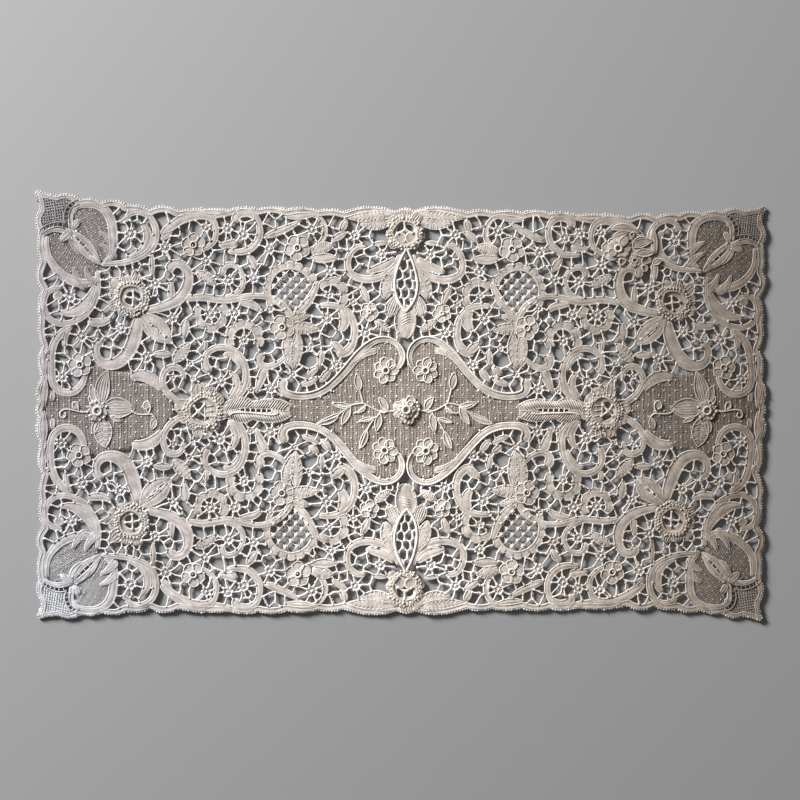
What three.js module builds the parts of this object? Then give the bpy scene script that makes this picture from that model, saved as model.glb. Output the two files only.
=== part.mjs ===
// A needle lace doily lying flat: one worked lace ground with its largest gaps open, fine net panels
// set into it (a medallion, two end panels and two pods at each corner) and raised flowers sewn on top.
// Millimetres, +Z up. +X runs along the doily, +Y across it. The origin is under the middle of its outer box.
import * as THREE from "three";

// ---- driving sizes ----
const LENGTH = 450; // tip to tip along X
const CHART_LENGTH = 730; // the same length on the working chart, in chart units
const MM = LENGTH / CHART_LENGTH; // millimetres for one chart unit
const GROUND_THICK = 1.2; // worked lace
const NET_THICK = 1.0; // net panels
const GAP = 0.3; // room between two pieces
const RAISED_Z = GROUND_THICK + GAP; // where the sewn-on flowers start
const ARC_STEPS = 4; // straight steps in one scallop
const PANEL_STEPS = 2; // straight steps between two rows of a panel's table
const POD_STEPS = 20; // straight steps round a pod

// One quarter is charted, up and to the left of the middle, and the other three mirror it.
// Chart units: "out" runs from the middle to the end, "up" from the middle to the long side.
const HALF_OUT = 369.5,
  HALF_UP = 220;

// Scallops along the long side, from the corner's tip to the middle, and along the end, from the tip down.
// Each row is where a scallop starts, and how far its arc stands out from the straight line to the next row.
const LONG_SIDE = [
  { out: 369.5, up: 220.0, bulge: -0.5 },
  { out: 348.5, up: 213.5, bulge: 3.5 },
  { out: 326.0, up: 210.0, bulge: 2.5 },
  { out: 304.0, up: 207.0, bulge: 3.5 },
  { out: 280.0, up: 203.5, bulge: 2.2 },
  { out: 256.5, up: 200.0, bulge: 4.5 },
  { out: 228.5, up: 199.0, bulge: 1.8 },
  { out: 174.0, up: 200.5, bulge: 1.8 },
  { out: 147.0, up: 200.0, bulge: 2.8 },
  { out: 119.0, up: 199.5, bulge: 2.2 },
  { out: 88.0, up: 198.5, bulge: 2.0 },
  { out: 62.0, up: 198.0, bulge: 4.5 },
  { out: 9.0, up: 199.0, bulge: 3.0 },
];
const END_SIDE = [
  { out: 369.5, up: 220.0, bulge: -1.5 },
  { out: 364.5, up: 201.0, bulge: 4.0 },
  { out: 366.0, up: 177.5, bulge: 2.0 },
  { out: 364.5, up: 147.5, bulge: 5.0 },
  { out: 362.0, up: 121.0, bulge: 2.0 },
  { out: 365.0, up: 92.5, bulge: 2.5 },
  { out: 362.0, up: 64.5, bulge: 4.0 },
  { out: 363.5, up: 32.0, bulge: 4.0 },
  { out: 365.5, up: 7.5, bulge: 2.5 },
];

// The lace has settled unevenly: three corners lie a little nearer the middle than the charted one.
const SETTLED = {
  end_in: 10, // the +X end lies this much nearer the middle
  end_power: 1.3,
  corners: [
    // x, y say which corner; in_up and in_out are how far its tip has come in
    { x: 1, y: 1, in_up: 16.5, in_out: 0, out_power: 1.5, up_power: 1.3 },
    { x: 1, y: -1, in_up: 10, in_out: 3, out_power: 1.2, up_power: 1.3 },
    { x: -1, y: -1, in_up: 13, in_out: 1, out_power: 4, up_power: 2 },
  ],
};

// Half height of the net panels at stations along the doily.
const MEDALLION = [
  { out: 116.0, half: 11.5 },
  { out: 97.0, half: 11.5 },
  { out: 82.0, half: 15.0 },
  { out: 70.0, half: 22.5 },
  { out: 57.0, half: 38.0 },
  { out: 45.0, half: 53.0 },
  { out: 33.0, half: 64.0 },
  { out: 21.0, half: 68.0 },
  { out: 10.0, half: 64.0 },
  { out: 3.5, half: 55.0 },
  { out: 0.0, half: 44.0 },
];
const END_PANEL = [
  { out: 355.0, half: 7.0 },
  { out: 345.0, half: 14.0 },
  { out: 331.0, half: 17.0 },
  { out: 321.0, half: 29.0 },
  { out: 313.0, half: 44.0 },
  { out: 306.0, half: 45.5 },
  { out: 298.0, half: 41.5 },
  { out: 277.0, half: 39.5 },
  { out: 272.0, half: 30.5 },
  { out: 258.0, half: 28.0 },
  { out: 246.0, half: 22.0 },
  { out: 238.0, half: 12.0 },
  { out: 232.0, half: 5.0 },
];
// Two pods of net fill each corner. The tilt is the long axis, in degrees up from the outward direction.
const PODS = [
  { name: "a", out: 307.5, up: 176.5, long: 26.0, wide: 12.5, tilt: 54 },
  { name: "b", out: 334.0, up: 149.0, long: 26.5, wide: 11.5, tilt: 38 },
];

// The largest gaps of the ground, as stretched octagons. The rows with a name are stated as openings.
const GAPS = [
  { name: "leaf", out: 97.0, up: 50.5, wide: 8.0, high: 6.5 },
  { name: "stem", out: 137.0, up: 63.5, wide: 7.0, high: 6.0 },
  { name: "scroll", out: 188.0, up: 153.5, wide: 6.6, high: 5.6 },
  { name: "", out: 77.5, up: 79.5, wide: 5.2, high: 6.0 },
  { name: "", out: 155.5, up: 58.0, wide: 4.8, high: 5.8 },
  { name: "", out: 184.0, up: 46.0, wide: 5.8, high: 4.8 },
  { name: "", out: 213.0, up: 40.0, wide: 6.0, high: 3.8 },
  { name: "", out: 208.5, up: 77.0, wide: 5.8, high: 4.2 },
  { name: "", out: 247.5, up: 44.5, wide: 4.2, high: 6.5 },
  { name: "", out: 257.0, up: 65.5, wide: 5.2, high: 4.8 },
  { name: "", out: 323.0, up: 87.5, wide: 4.6, high: 4.6 },
  { name: "", out: 40.5, up: 168.5, wide: 5.2, high: 4.4 },
  { name: "", out: 43.5, up: 150.0, wide: 5.8, high: 3.6 },
  { name: "", out: 27.0, up: 125.5, wide: 4.2, high: 5.2 },
  { name: "", out: 100.5, up: 67.0, wide: 4.6, high: 6.0 },
];

// Raised flowers sewn on: a padded ring with lobes round an eye. x and y are the quarters it is made in.
const FLOWERS = [
  { name: "corner_flower", out: 275.5, up: 112.5, eye: 8.6, rim: 15.0, tall: 3.0, lobes: 12, x: [-1, 1], y: [1, -1] },
  { name: "end_flower", out: 201.5, up: -1.5, eye: 9.0, rim: 15.5, tall: 3.2, lobes: 12, x: [-1, 1], y: [1] },
  { name: "side_flower", out: 1.0, up: 176.0, eye: 8.4, rim: 15.0, tall: 3.2, lobes: 12, x: [-1], y: [1, -1] },
];
const MIDDLE_FLOWER = { name: "middle_flower", out: 0, up: 0, rim: 13.5, tall: 3.4, lobes: 9, dent: 0.45 };
const BUNCH = { name: "flower_bunch", out: 232.0, up: 160.5, long: 21.5, wide: 17.5, tall: 3.2, lobes: 7, dent: 0.12 };
const RING_STEPS = 24; // steps round a flower
const RING_SIDES = 6; // steps round its padded section
const EYE_STEPS = 12; // steps round the hole under its eye

// Materials, with the photo's ivory thread
const IVORY = new THREE.MeshStandardMaterial({ color: 0xe3d8cd, roughness: 0.88, metalness: 0 });
const NET = new THREE.MeshStandardMaterial({ color: 0xb3a79d, roughness: 0.92, metalness: 0 });
const CREAM = new THREE.MeshStandardMaterial({ color: 0xe6d5bf, roughness: 0.86, metalness: 0 });

// ---- helpers ----
const pow = Math.pow;

// A charted point with its quarter's signs, to its settled place in millimetres (before centring).
function settle(out, up, sx, sy) {
  const s = Math.min(Math.abs(out) / HALF_OUT, 1),
    t = Math.min(Math.abs(up) / HALF_UP, 1);
  let o = out,
    u = up;
  if (sx > 0) o -= SETTLED.end_in * pow(s, SETTLED.end_power) * Math.sign(out);
  for (const c of SETTLED.corners)
    if (c.x === sx && c.y === sy) {
      const w = pow(s, c.out_power) * pow(t, c.up_power);
      u -= c.in_up * w * Math.sign(up);
      o -= c.in_out * w * Math.sign(out);
    }
  return new THREE.Vector2(sx * o * MM, sy * u * MM);
}

// Points of an arc from a to b that stands out by bulge to the left of the way from a to b, without b.
function arc(a, b, bulge, steps) {
  const d = b.clone().sub(a),
    n = new THREE.Vector2(-d.y, d.x).normalize(),
    made = [];
  for (let i = 0; i < steps; i++) {
    const f = i / steps;
    made.push(a.clone().addScaledVector(d, f).addScaledVector(n, bulge * 4 * f * (1 - f)));
  }
  return made;
}

// The scalloped outline of one quarter on the chart, from the middle of the end to the middle of the long side.
function quarterOutline() {
  const chart = (r) => new THREE.Vector2(r.out, r.up);
  const end = [];
  for (let i = END_SIDE.length - 1; i > 0; i--) {
    // from the middle up to the tip, so each row's bulge belongs to the scallop above it
    end.push(...arc(chart(END_SIDE[i]), chart(END_SIDE[i - 1]), -END_SIDE[i - 1].bulge, ARC_STEPS));
  }
  const long = [];
  for (let i = 0; i < LONG_SIDE.length - 1; i++)
    long.push(...arc(chart(LONG_SIDE[i]), chart(LONG_SIDE[i + 1]), -LONG_SIDE[i].bulge, ARC_STEPS));
  long.push(chart(LONG_SIDE[LONG_SIDE.length - 1]));
  // the scallop on the middle line, from its top to the first row, at each end of the quarter
  const last = LONG_SIDE[LONG_SIDE.length - 1],
    first = END_SIDE[END_SIDE.length - 1];
  return [new THREE.Vector2(first.out + first.bulge, 0), ...end, ...long, new THREE.Vector2(0, last.up + last.bulge)];
}

// All four quarters of a charted quarter outline, anticlockwise seen from above, settled, in millimetres.
function wholeOutline(quarter) {
  const q = quarter,
    back = [...quarter].reverse();
  const turn = [
    { points: q, sx: 1, sy: 1 },
    { points: back, sx: -1, sy: 1 },
    { points: q, sx: -1, sy: -1 },
    { points: back, sx: 1, sy: -1 },
  ];
  const made = [];
  for (const { points, sx, sy } of turn)
    for (const p of points) {
      // points on a middle line are shared by two quarters, so they are settled with no corner's pull
      const at = settle(p.x, p.y, sx, sy);
      if (!made.length || made[made.length - 1].distanceTo(at) > 0.05) made.push(at);
    }
  if (made[0].distanceTo(made[made.length - 1]) < 0.05) made.pop();
  return made;
}

// The outline moved towards its inside (or outside, if by is negative) along each corner's bisector.
function inset(points, by) {
  const n = points.length,
    area = THREE.ShapeUtils.area(points);
  return points.map((p, i) => {
    const a = points[(i + n - 1) % n],
      b = points[(i + 1) % n];
    const u = p.clone().sub(a).normalize(),
      v = b.clone().sub(p).normalize();
    const m = new THREE.Vector2(-u.y - v.y, u.x + v.x);
    const len = Math.max(m.length(), 0.7);
    m.normalize().multiplyScalar((Math.sign(area) * by * 2) / len);
    return p.clone().add(m);
  });
}

// Smooth rows of a station table: rounded steps between the rows by a Catmull-Rom curve.
function stations(table) {
  const curve = new THREE.CatmullRomCurve3(
    table.map((r) => new THREE.Vector3(r.out, r.half, 0)),
    false,
    "centripetal",
  );
  return curve.getPoints((table.length - 1) * PANEL_STEPS).map((p) => new THREE.Vector2(p.x, p.y));
}

// A panel that is symmetric about the long middle line, at one end or (both true) across the middle.
function panelOutline(table, sx, both) {
  const edge = stations(table);
  const made = [];
  const add = (p, x, y) => made.push(settle(p.x, p.y, x, y));
  if (both) {
    edge.forEach((p) => add(p, 1, 1));
    [...edge].reverse().slice(1).forEach((p) => add(p, -1, 1));
    edge.forEach((p) => add(p, -1, -1));
    [...edge].reverse().slice(1, -0 || undefined).forEach((p) => add(p, 1, -1));
  } else {
    edge.forEach((p) => add(p, sx, 1));
    [...edge].reverse().forEach((p) => add(p, sx, -1));
  }
  const clean = made.filter((p, i) => p.distanceTo(made[(i + 1) % made.length]) > 0.05);
  return THREE.ShapeUtils.area(clean) < 0 ? clean.reverse() : clean;
}

function podOutline(pod, sx, sy) {
  const made = [],
    tilt = THREE.MathUtils.degToRad(pod.tilt);
  for (let i = 0; i < POD_STEPS; i++) {
    const a = (2 * Math.PI * i) / POD_STEPS;
    const along = pod.long * Math.cos(a),
      across = pod.wide * Math.sin(a) * (1 + 0.12 * Math.cos(a));
    made.push(
      settle(
        pod.out + along * Math.cos(tilt) - across * Math.sin(tilt),
        pod.up + along * Math.sin(tilt) + across * Math.cos(tilt),
        sx,
        sy,
      ),
    );
  }
  return THREE.ShapeUtils.area(made) < 0 ? made.reverse() : made;
}

function gapOutline(gap, sx, sy) {
  const made = [];
  for (let i = 0; i < 8; i++) {
    const a = (2 * Math.PI * (i + 0.5)) / 8;
    made.push(settle(gap.out + (gap.wide / 0.924) * Math.cos(a), gap.up + (gap.high / 0.924) * Math.sin(a), sx, sy));
  }
  return THREE.ShapeUtils.area(made) < 0 ? made.reverse() : made;
}

function eyeOutline(flower, sx, sy) {
  const made = [];
  for (let i = 0; i < EYE_STEPS; i++) {
    const a = (2 * Math.PI * i) / EYE_STEPS,
      r = flower.eye - 1.2;
    made.push(settle(flower.out, flower.up, sx, sy).add(new THREE.Vector2(Math.cos(a), Math.sin(a)).multiplyScalar(r * MM)));
  }
  return made;
}

// A flat sheet from an outline and its holes.
function sheet(outline, holes, thick) {
  const shape = new THREE.Shape(outline);
  for (const h of holes) shape.holes.push(new THREE.Path([...h].reverse()));
  return new THREE.ExtrudeGeometry(shape, { depth: thick, bevelEnabled: false, steps: 1 });
}

// A padded ring round an eye, its rim drawn into lobes by the stitches.
function ringFlower(f) {
  const mid = ((f.eye + f.rim) / 2) * MM,
    half = ((f.rim - f.eye) / 2) * MM,
    profile = [];
  for (let i = 0; i <= RING_SIDES; i++) {
    const a = (-2 * Math.PI * i) / RING_SIDES - Math.PI / 2;
    profile.push(new THREE.Vector2(mid + half * Math.cos(-a), (f.tall / 2) * (1 + Math.sin(-a))));
  }
  return lobed(new THREE.LatheGeometry(profile, RING_STEPS), f.lobes, 0.07, mid);
}

// A domed flower, closed underneath, with a dent at its eye.
function domeFlower(f, rim) {
  const profile = [
    new THREE.Vector2(0, 0),
    new THREE.Vector2(rim * 0.86, 0),
    new THREE.Vector2(rim, f.tall * 0.3),
    new THREE.Vector2(rim * 0.88, f.tall * 0.72),
    new THREE.Vector2(rim * 0.6, f.tall),
    new THREE.Vector2(rim * 0.3, f.tall * 0.94),
    new THREE.Vector2(0, f.tall * (1 - f.dent)),
  ];
  return lobed(new THREE.LatheGeometry(profile, RING_STEPS), f.lobes, 0.09, rim * 0.4);
}

// Pushes the points outside radius "from" in and out round the axis, then lays the lathe's axis along +Z.
function lobed(geometry, lobes, share, from) {
  geometry.rotateX(Math.PI / 2);
  const p = geometry.getAttribute("position");
  for (let i = 0; i < p.count; i++) {
    const x = p.getX(i),
      y = p.getY(i),
      r = Math.hypot(x, y);
    if (r < from) continue;
    const grow = 1 + share * Math.cos(lobes * Math.atan2(y, x));
    p.setXY(i, x * grow, y * grow);
  }
  p.needsUpdate = true;
  return geometry;
}

// ---- the pieces ----
const doily = new THREE.Group();
const word = { x: { "-1": "left", 1: "right" }, y: { 1: "back", "-1": "front" } };
const both = [-1, 1];

function piece(name, geometry, material, at) {
  const mesh = new THREE.Mesh(geometry, material);
  mesh.name = name;
  if (at) mesh.position.set(at.x, at.y, at.z || 0);
  doily.add(mesh);
  return mesh;
}

const outline = wholeOutline(quarterOutline());
const box = new THREE.Box2().setFromPoints(outline);
const middle = box.getCenter(new THREE.Vector2());

const holes = [];
const nets = [];
nets.push({ name: "net_medallion", outline: panelOutline(MEDALLION, 1, true) });
for (const sx of both) nets.push({ name: "net_end_" + word.x[sx], outline: panelOutline(END_PANEL, sx, false) });
for (const sx of both)
  for (const sy of both)
    for (const pod of PODS)
      nets.push({ name: "net_pod_" + word.y[sy] + "_" + word.x[sx] + "_" + pod.name, outline: podOutline(pod, sx, sy) });
for (const n of nets) holes.push(n.outline);
for (const sx of both) for (const sy of both) for (const g of GAPS) holes.push(gapOutline(g, sx, sy));
for (const f of FLOWERS) for (const sx of f.x) for (const sy of f.y) holes.push(eyeOutline(f, sx, sy));

piece("lace_ground", sheet(outline, holes, GROUND_THICK), IVORY);
for (const n of nets) piece(n.name, sheet(inset(n.outline, GAP), [], NET_THICK), NET);

for (const f of FLOWERS)
  for (const sx of f.x)
    for (const sy of f.y) {
      const at = settle(f.out, f.up, sx, sy);
      const where = [f.y.length > 1 ? word.y[sy] : "", f.x.length > 1 ? word.x[sx] : ""].filter(Boolean).join("_");
      piece(f.name + "_" + where, ringFlower(f), CREAM, { x: at.x, y: at.y, z: RAISED_Z });
    }
piece("middle_flower", domeFlower(MIDDLE_FLOWER, MIDDLE_FLOWER.rim * MM), CREAM, { x: 0, y: 0, z: RAISED_Z });
const bunchAt = settle(BUNCH.out, BUNCH.up, 1, 1);
const bunch = piece("flower_bunch", domeFlower(BUNCH, BUNCH.wide * MM), CREAM, { x: bunchAt.x, y: bunchAt.y, z: RAISED_Z });
bunch.scale.set(BUNCH.long / BUNCH.wide, 1, 1);

// the middle of the outer box, on the underside, is the origin
doily.position.set(-middle.x, -middle.y, 0);
const part = new THREE.Group();
part.add(doily);
export default part;
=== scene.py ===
import math

import bpy
import numpy as np
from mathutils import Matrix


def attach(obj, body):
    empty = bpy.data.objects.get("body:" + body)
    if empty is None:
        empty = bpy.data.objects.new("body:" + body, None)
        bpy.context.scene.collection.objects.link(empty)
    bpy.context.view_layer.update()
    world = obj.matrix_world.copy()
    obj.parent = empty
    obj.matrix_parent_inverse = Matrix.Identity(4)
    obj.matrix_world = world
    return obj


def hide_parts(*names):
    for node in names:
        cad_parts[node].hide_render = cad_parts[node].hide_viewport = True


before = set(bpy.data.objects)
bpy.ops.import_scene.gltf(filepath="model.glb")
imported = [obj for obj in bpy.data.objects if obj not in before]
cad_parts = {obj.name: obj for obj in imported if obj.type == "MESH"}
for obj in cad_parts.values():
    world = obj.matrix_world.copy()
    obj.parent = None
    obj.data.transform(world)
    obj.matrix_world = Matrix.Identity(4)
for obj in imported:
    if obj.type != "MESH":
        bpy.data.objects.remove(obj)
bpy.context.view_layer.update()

# ---------------------------------------------------------------- sizes, as in the CAD part
MM = 450 / 730  # millimetres for one chart unit
HALF_OUT, HALF_UP = 369.5, 220.0
MIDDLE_X, MIDDLE_Y = 3.0822, -3.0822  # the chart's middle in the frame, in millimetres
CHART_X, CHART_Y = 406.0, 410.5  # the chart's middle in chart units (x to the right, y down)
END_IN, END_POWER = 10.0, 1.3
CORNERS = {  # (x side, y side): how far the tip has come in up and out, and how fast that fades
    (1, 1): (16.5, 0.0, 1.5, 1.3),
    (1, -1): (10.0, 3.0, 1.2, 1.3),
    (-1, -1): (13.0, 1.0, 4.0, 2.0),
}
LONG_SIDE = [  # out, up, bulge
    (369.5, 220.0, -0.5), (348.5, 213.5, 3.5), (326.0, 210.0, 2.5), (304.0, 207.0, 3.5), (280.0, 203.5, 2.2),
    (256.5, 200.0, 4.5), (228.5, 199.0, 1.8), (174.0, 200.5, 1.8), (147.0, 200.0, 2.8), (119.0, 199.5, 2.2),
    (88.0, 198.5, 2.0), (62.0, 198.0, 4.5), (9.0, 199.0, 3.0),
]
END_SIDE = [
    (369.5, 220.0, -1.5), (364.5, 201.0, 4.0), (366.0, 177.5, 2.0), (364.5, 147.5, 5.0), (362.0, 121.0, 2.0),
    (365.0, 92.5, 2.5), (362.0, 64.5, 4.0), (363.5, 32.0, 4.0), (365.5, 7.5, 2.5),
]
MEDALLION = [  # out, half height
    (116.0, 11.5), (97.0, 11.5), (82.0, 15.0), (70.0, 22.5), (57.0, 38.0), (45.0, 53.0), (33.0, 64.0), (21.0, 68.0),
    (10.0, 64.0), (3.5, 55.0), (0.0, 44.0),
]
END_PANEL = [
    (359.0, 21.0), (353.0, 19.0), (345.0, 17.0), (331.0, 17.5), (321.0, 29.0), (313.0, 44.0), (306.0, 45.5), (298.0, 41.5),
    (277.0, 39.5), (272.0, 30.5), (258.0, 28.0), (246.0, 22.0), (238.0, 12.0), (232.0, 5.0),
]
POD_NETS = [  # outlines of the pods' net
    [(75, 217), (78, 210.5), (88, 207.5), (99, 208.5), (108, 213.5), (113.5, 223), (115.5, 236), (115, 248), (111.5, 257), (104, 261.5), (99.5, 262.5), (92, 253), (84.5, 243), (77, 232.5), (74, 225)],
    [(48, 238), (50, 234), (57, 233), (66, 236.5), (74, 241.5), (82, 249), (90, 257.5), (98, 266), (97.5, 272), (94, 279), (88, 282.5), (79, 283), (69, 280), (60, 274.5), (53.5, 267), (49, 257), (47.5, 247)],
]

# ---------------------------------------------------------------- the charted quarter (x to the right, y down)
# Scrolls: points that the middle of the band passes through, and its width from start to end.
SCROLLS = {
    "pod_a_band": ([(74, 216), (76, 209), (85, 205.8), (98, 206.5), (107.5, 212.5), (112.5, 222), (114, 236), (113.5, 249), (110.5, 257.5), (104, 262.5)], [5, 5.5, 6.5, 8.5, 9.5, 9.5, 9, 7, 4]),
    "pod_b_band": ([(47, 236), (47, 247), (49, 258), (54.5, 267.5), (62, 275), (71, 280), (81, 282.6), (91, 282), (97.5, 277)], [5, 6, 7, 8.5, 9.5, 9.5, 8.5, 6]),
    "corner_scroll": ([(126, 219), (131, 214.5), (140, 212.5), (149, 216.5), (154.5, 225), (156, 236), (153.5, 246.5), (147, 253.5), (137, 258.5), (125, 262), (112, 263.5), (101, 264.5)], [5.5, 6.5, 7, 7, 7, 6.5, 6, 4.5]),
    "corner_scroll_leaf": ([(142, 223), (147, 231), (147.5, 240), (144, 248.5), (136.5, 254), (126, 258.5)], [4, 8.5, 9.5, 8, 5, 3]),
    "left_scroll": ([(62, 289), (54, 289.5), (47.5, 294), (45, 302.5), (46.5, 312), (51.5, 319.5), (59.5, 323.5), (69, 323.5), (78.5, 320), (86.5, 313.5), (92.5, 304.5), (97, 294), (98.5, 282), (97.5, 270)], [6, 6.5, 6.5, 6.5, 6.5, 6.5, 6.5, 6, 5]),
    "left_scroll_leaf": ([(58.5, 312), (68, 313), (79, 309.5), (87.5, 302), (93, 292), (95.5, 283)], [3, 9, 13.5, 13.5, 9, 4]),
    "end_hook": ([(73, 326.5), (63, 332.5), (56, 341), (52.5, 352), (51.5, 364), (51.5, 376), (54, 385.5), (60.5, 391.5), (69, 393), (77, 390), (83, 383), (86, 373)], [6, 8.5, 8.5, 8, 8, 8, 8, 7.5, 5.5]),
    "end_hook_inner": ([(70, 328.5), (66.5, 336), (65.5, 348)], [6, 7.5, 4]),
    "u_scroll": ([(104, 341), (98, 345), (96.5, 352), (98.5, 359), (104.5, 364), (112.5, 364.5), (120, 361.5), (127, 355), (131.5, 347), (134.5, 338), (137, 328), (138, 318)], [11, 7.5, 8.5, 11, 13, 13.5, 14.5, 14.5, 12.5, 9]),
    "collar": ([(88, 321.5), (95, 322.5), (103, 322.5), (112, 319)], [7, 9.5, 9, 5]),
    "hook_low": ([(172, 273), (171, 267.5), (175.5, 263.8), (183, 265.5), (187.5, 272), (188.8, 280), (187.2, 289), (183.2, 296), (176.5, 302), (168, 305.8), (158, 308.5), (146, 311)], [11, 9.5, 9, 10, 12, 12.5, 12, 10.5, 9, 8.5]),
    "hook_low_leaf": ([(171.5, 281), (171.8, 290), (172.5, 300)], [3, 8.5, 8]),
    "main_stem": ([(186, 301), (194, 298.5), (205, 297.5), (216, 299), (227, 300), (238, 298.5), (249, 296), (260, 295.5), (268, 297), (276, 300.5), (283, 305.5), (288, 311.5), (291.5, 318)], [5, 8, 8, 8, 6.5, 6, 6.5, 7.5, 7]),
    "stem_tab": ([(238, 301.5), (247, 303.5), (255, 306), (261, 311)], [5, 8.5, 9, 4]),
    "arch": ([(162, 236), (165, 230.5), (172, 225), (181, 219.5), (192, 216), (203, 215), (211.5, 218.5), (215.5, 226), (216.5, 234.5), (214, 242), (208.5, 247.5), (201, 251)], [7, 9.5, 10, 10.5, 10.5, 8.5, 6.5, 6, 6, 5]),
    "arch_leaf": ([(213, 217), (222, 214.5), (233, 213)], [3, 7, 4]),
    "wreath": ([(237, 223.5), (237, 216.5), (243, 213.5), (251, 214.5), (257.5, 219.5), (260.5, 228), (260, 237), (255.5, 245), (248, 250.5), (239, 252.5), (227, 252)], [9, 10.5, 8, 6.5, 7, 8, 8, 7, 4.5]),
    "wreath_tab": ([(218.5, 246), (228, 245), (238, 243)], [4.5, 9, 11]),
    "hook_small": ([(223, 276.5), (222.8, 270), (228, 265.5), (235, 266.5), (240.5, 271.5), (243.5, 279), (242.5, 286.5), (238, 292.5), (231, 296.5), (224, 298.5)], [8.5, 7, 6, 5.5, 5.5, 6, 6, 5]),
    "top_arc": ([(311, 215), (318.5, 218), (323.5, 225), (325, 233), (322.5, 240.5), (317, 246), (310, 250)], [4.5, 5.5, 6, 6, 5.5, 4]),
    "c_scroll": ([(366, 246.5), (358, 246.5), (351.5, 251.5), (348, 259.5), (348, 268), (351.5, 274.5), (359.5, 278.6), (368.5, 279.6), (378.5, 278.2), (387.5, 274), (395, 266), (399.5, 255)], [5, 7, 7, 7, 7.5, 8.5, 8.5, 7.5, 7, 6, 4.5]),
    "c_scroll_leaf": ([(366.5, 272), (375, 269.3), (385, 266), (395.5, 259)], [5, 9.5, 10.5, 6]),
    "fan_scroll": ([(319, 306), (328, 305.5), (338, 307), (346.5, 311.5), (352, 319), (354.5, 328.5), (354, 338.5), (350.5, 347), (344, 352.5), (336, 352.5)], [5, 6.5, 7.5, 7.5, 7.5, 8, 8.5, 10, 9]),
    "fan_scroll_leaf": ([(340.5, 309), (344.5, 316), (344, 324), (339.5, 331.5)], [8, 13, 11.5, 6]),
    "ring_scroll": ([(182, 403.5), (174, 398.5), (166.5, 391), (163, 381.5), (165, 372.5), (171, 367), (178.5, 367.5), (183, 372.5), (184, 380)], [6, 7.5, 7, 6.5, 6.5, 7.5, 7.5, 6, 3.5]),
    "big_c": ([(209.5, 373), (205, 365), (206, 356), (211.5, 350), (219, 347), (228, 347.5), (236, 351.5), (242, 358.5), (245.5, 367.5), (246.5, 378), (244, 388), (238.5, 396), (231, 402)], [12, 7, 6.8, 7, 7, 7, 7.5, 8, 7.5, 6]),
    "big_c_leaf": ([(223, 354.5), (229, 354.5), (235, 358), (239, 363.5), (240.5, 371)], [4, 7.5, 8, 6, 3]),
    "big_c_tip": ([(228, 372.5), (233.5, 375), (236.5, 381), (236.5, 388), (233, 395), (228, 400.5)], [3, 7, 8.5, 8.5, 8, 6]),
    "small_hook": ([(264, 354), (259.4, 358.6), (260.2, 364.5), (265.8, 367.6), (273, 366.8), (281, 362.5), (287, 357)], [13, 10.5, 7.5, 6.8, 6.5, 6, 5]),
    "hook_leaf": ([(266.5, 368.5), (262.5, 376.5), (259, 385.5), (256, 393.5)], [11, 11, 8, 3]),
    "medallion_scroll": ([(286, 379), (282.6, 386), (285, 392.6), (292, 395.5), (302, 396), (312, 394.5), (322, 391), (330.5, 385.5), (338, 378.5), (345.5, 370), (353, 360.5), (361, 351.5), (369.5, 344.5), (379, 340), (388.5, 339.5), (396.5, 343.5), (401.5, 351), (402, 360), (398, 369)], [12.5, 8, 7.5, 7.5, 8, 8, 8.5, 8.5, 7, 6, 6, 6, 4]),
    "medallion_tab": ([(351, 365), (358, 358), (366, 353), (377, 350.5)], [3, 6, 7, 6.5]),
    "basket_stem": ([(318, 280), (314.5, 290), (309.5, 300), (303, 308.5), (295, 315)], [5, 8, 9, 9, 6]),
    "panel_tab": ([(131, 377), (139, 375), (149, 377), (158, 384), (163, 391)], [8, 12, 13, 11, 6]),
    "pod_b_top": ([(42.5, 236), (48, 231.5), (56, 229.5), (64, 231), (71, 234)], [4, 5.5, 6, 7, 5]),
    "pod_a_left": ([(80, 205), (74.5, 209), (71.8, 215), (71.3, 221), (72, 230)], [4.5, 5, 5.5, 6, 5]),
}
# Leaves: base and tip, width, how far the middle bends to one side, veins to each side.
LEAVES = [
    (121, 222, 132, 216, 5.5, -1, 0), (247, 255, 257.5, 270, 9, 0, 0),
    (195.5, 272, 217.5, 286.5, 11, 1, 5), (264, 236.5, 303, 219.5, 8, -2, 0), (264, 238.5, 287, 230.5, 5, -1, 0),
    (284, 216.5, 319, 214, 7.5, -1.5, 0), (312, 253, 334.5, 246, 13, 1.5, 5), (310.5, 257.5, 339.5, 258.5, 10.5, 0, 0),
    (371.5, 244.5, 388, 243, 5.5, 0, 0), (397, 213, 345, 217, 12, 1.5, 8), (393, 220, 359.5, 223.5, 13, 2.5, 6),
    (346, 218.5, 340, 232.5, 8, 0, 0), (331.5, 241, 347, 231, 8, 0, 0), (384.5, 300, 396, 268, 15, 1.5, 4),
    (388, 317.5, 396, 295.5, 13, 0, -4), (361, 286, 369, 305, 8, 1, 0), (374.5, 320, 391.5, 331.5, 9.5, 0, 5),
    (153.5, 354, 173, 354, 8.5, 0, 0), (186, 319, 183, 340, 10.5, 0, 0),
    (173, 362, 190.5, 342, 13.5, 0, 4), (206, 339, 205, 351, 6.5, 0, 0), (285, 327, 320.5, 330.5, 13, 0, 6), (286, 322, 311, 316, 10, 1, 3),
    (287.5, 332, 293.5, 368.5, 12.5, -2, 4), (296.5, 332, 294.5, 371, 12.5, 1.5, 4), (322, 350, 320.5, 367, 8.5, 0, 0),
    (300, 385, 319, 377, 7, -1, 0), (308, 375, 319, 366.5, 8, 0, 0), (331, 369, 320, 382, 8, 0, 0),
    (44, 347, 44.5, 378, 8, -1, 0), (45, 379, 45, 410, 9, -1, 0), (330.5, 342, 346, 355, 10, 0, 0),
    (53, 403, 53, 391, 5.5, 0, 0), (73, 231, 60, 242, 8.5, 0, 0), (80, 220, 73, 231, 7, 0, 0),
    (153, 253, 153, 279, 6.5, 0, 0), (160.5, 239.5, 172.5, 230, 7, 0, 0),
]
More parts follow.
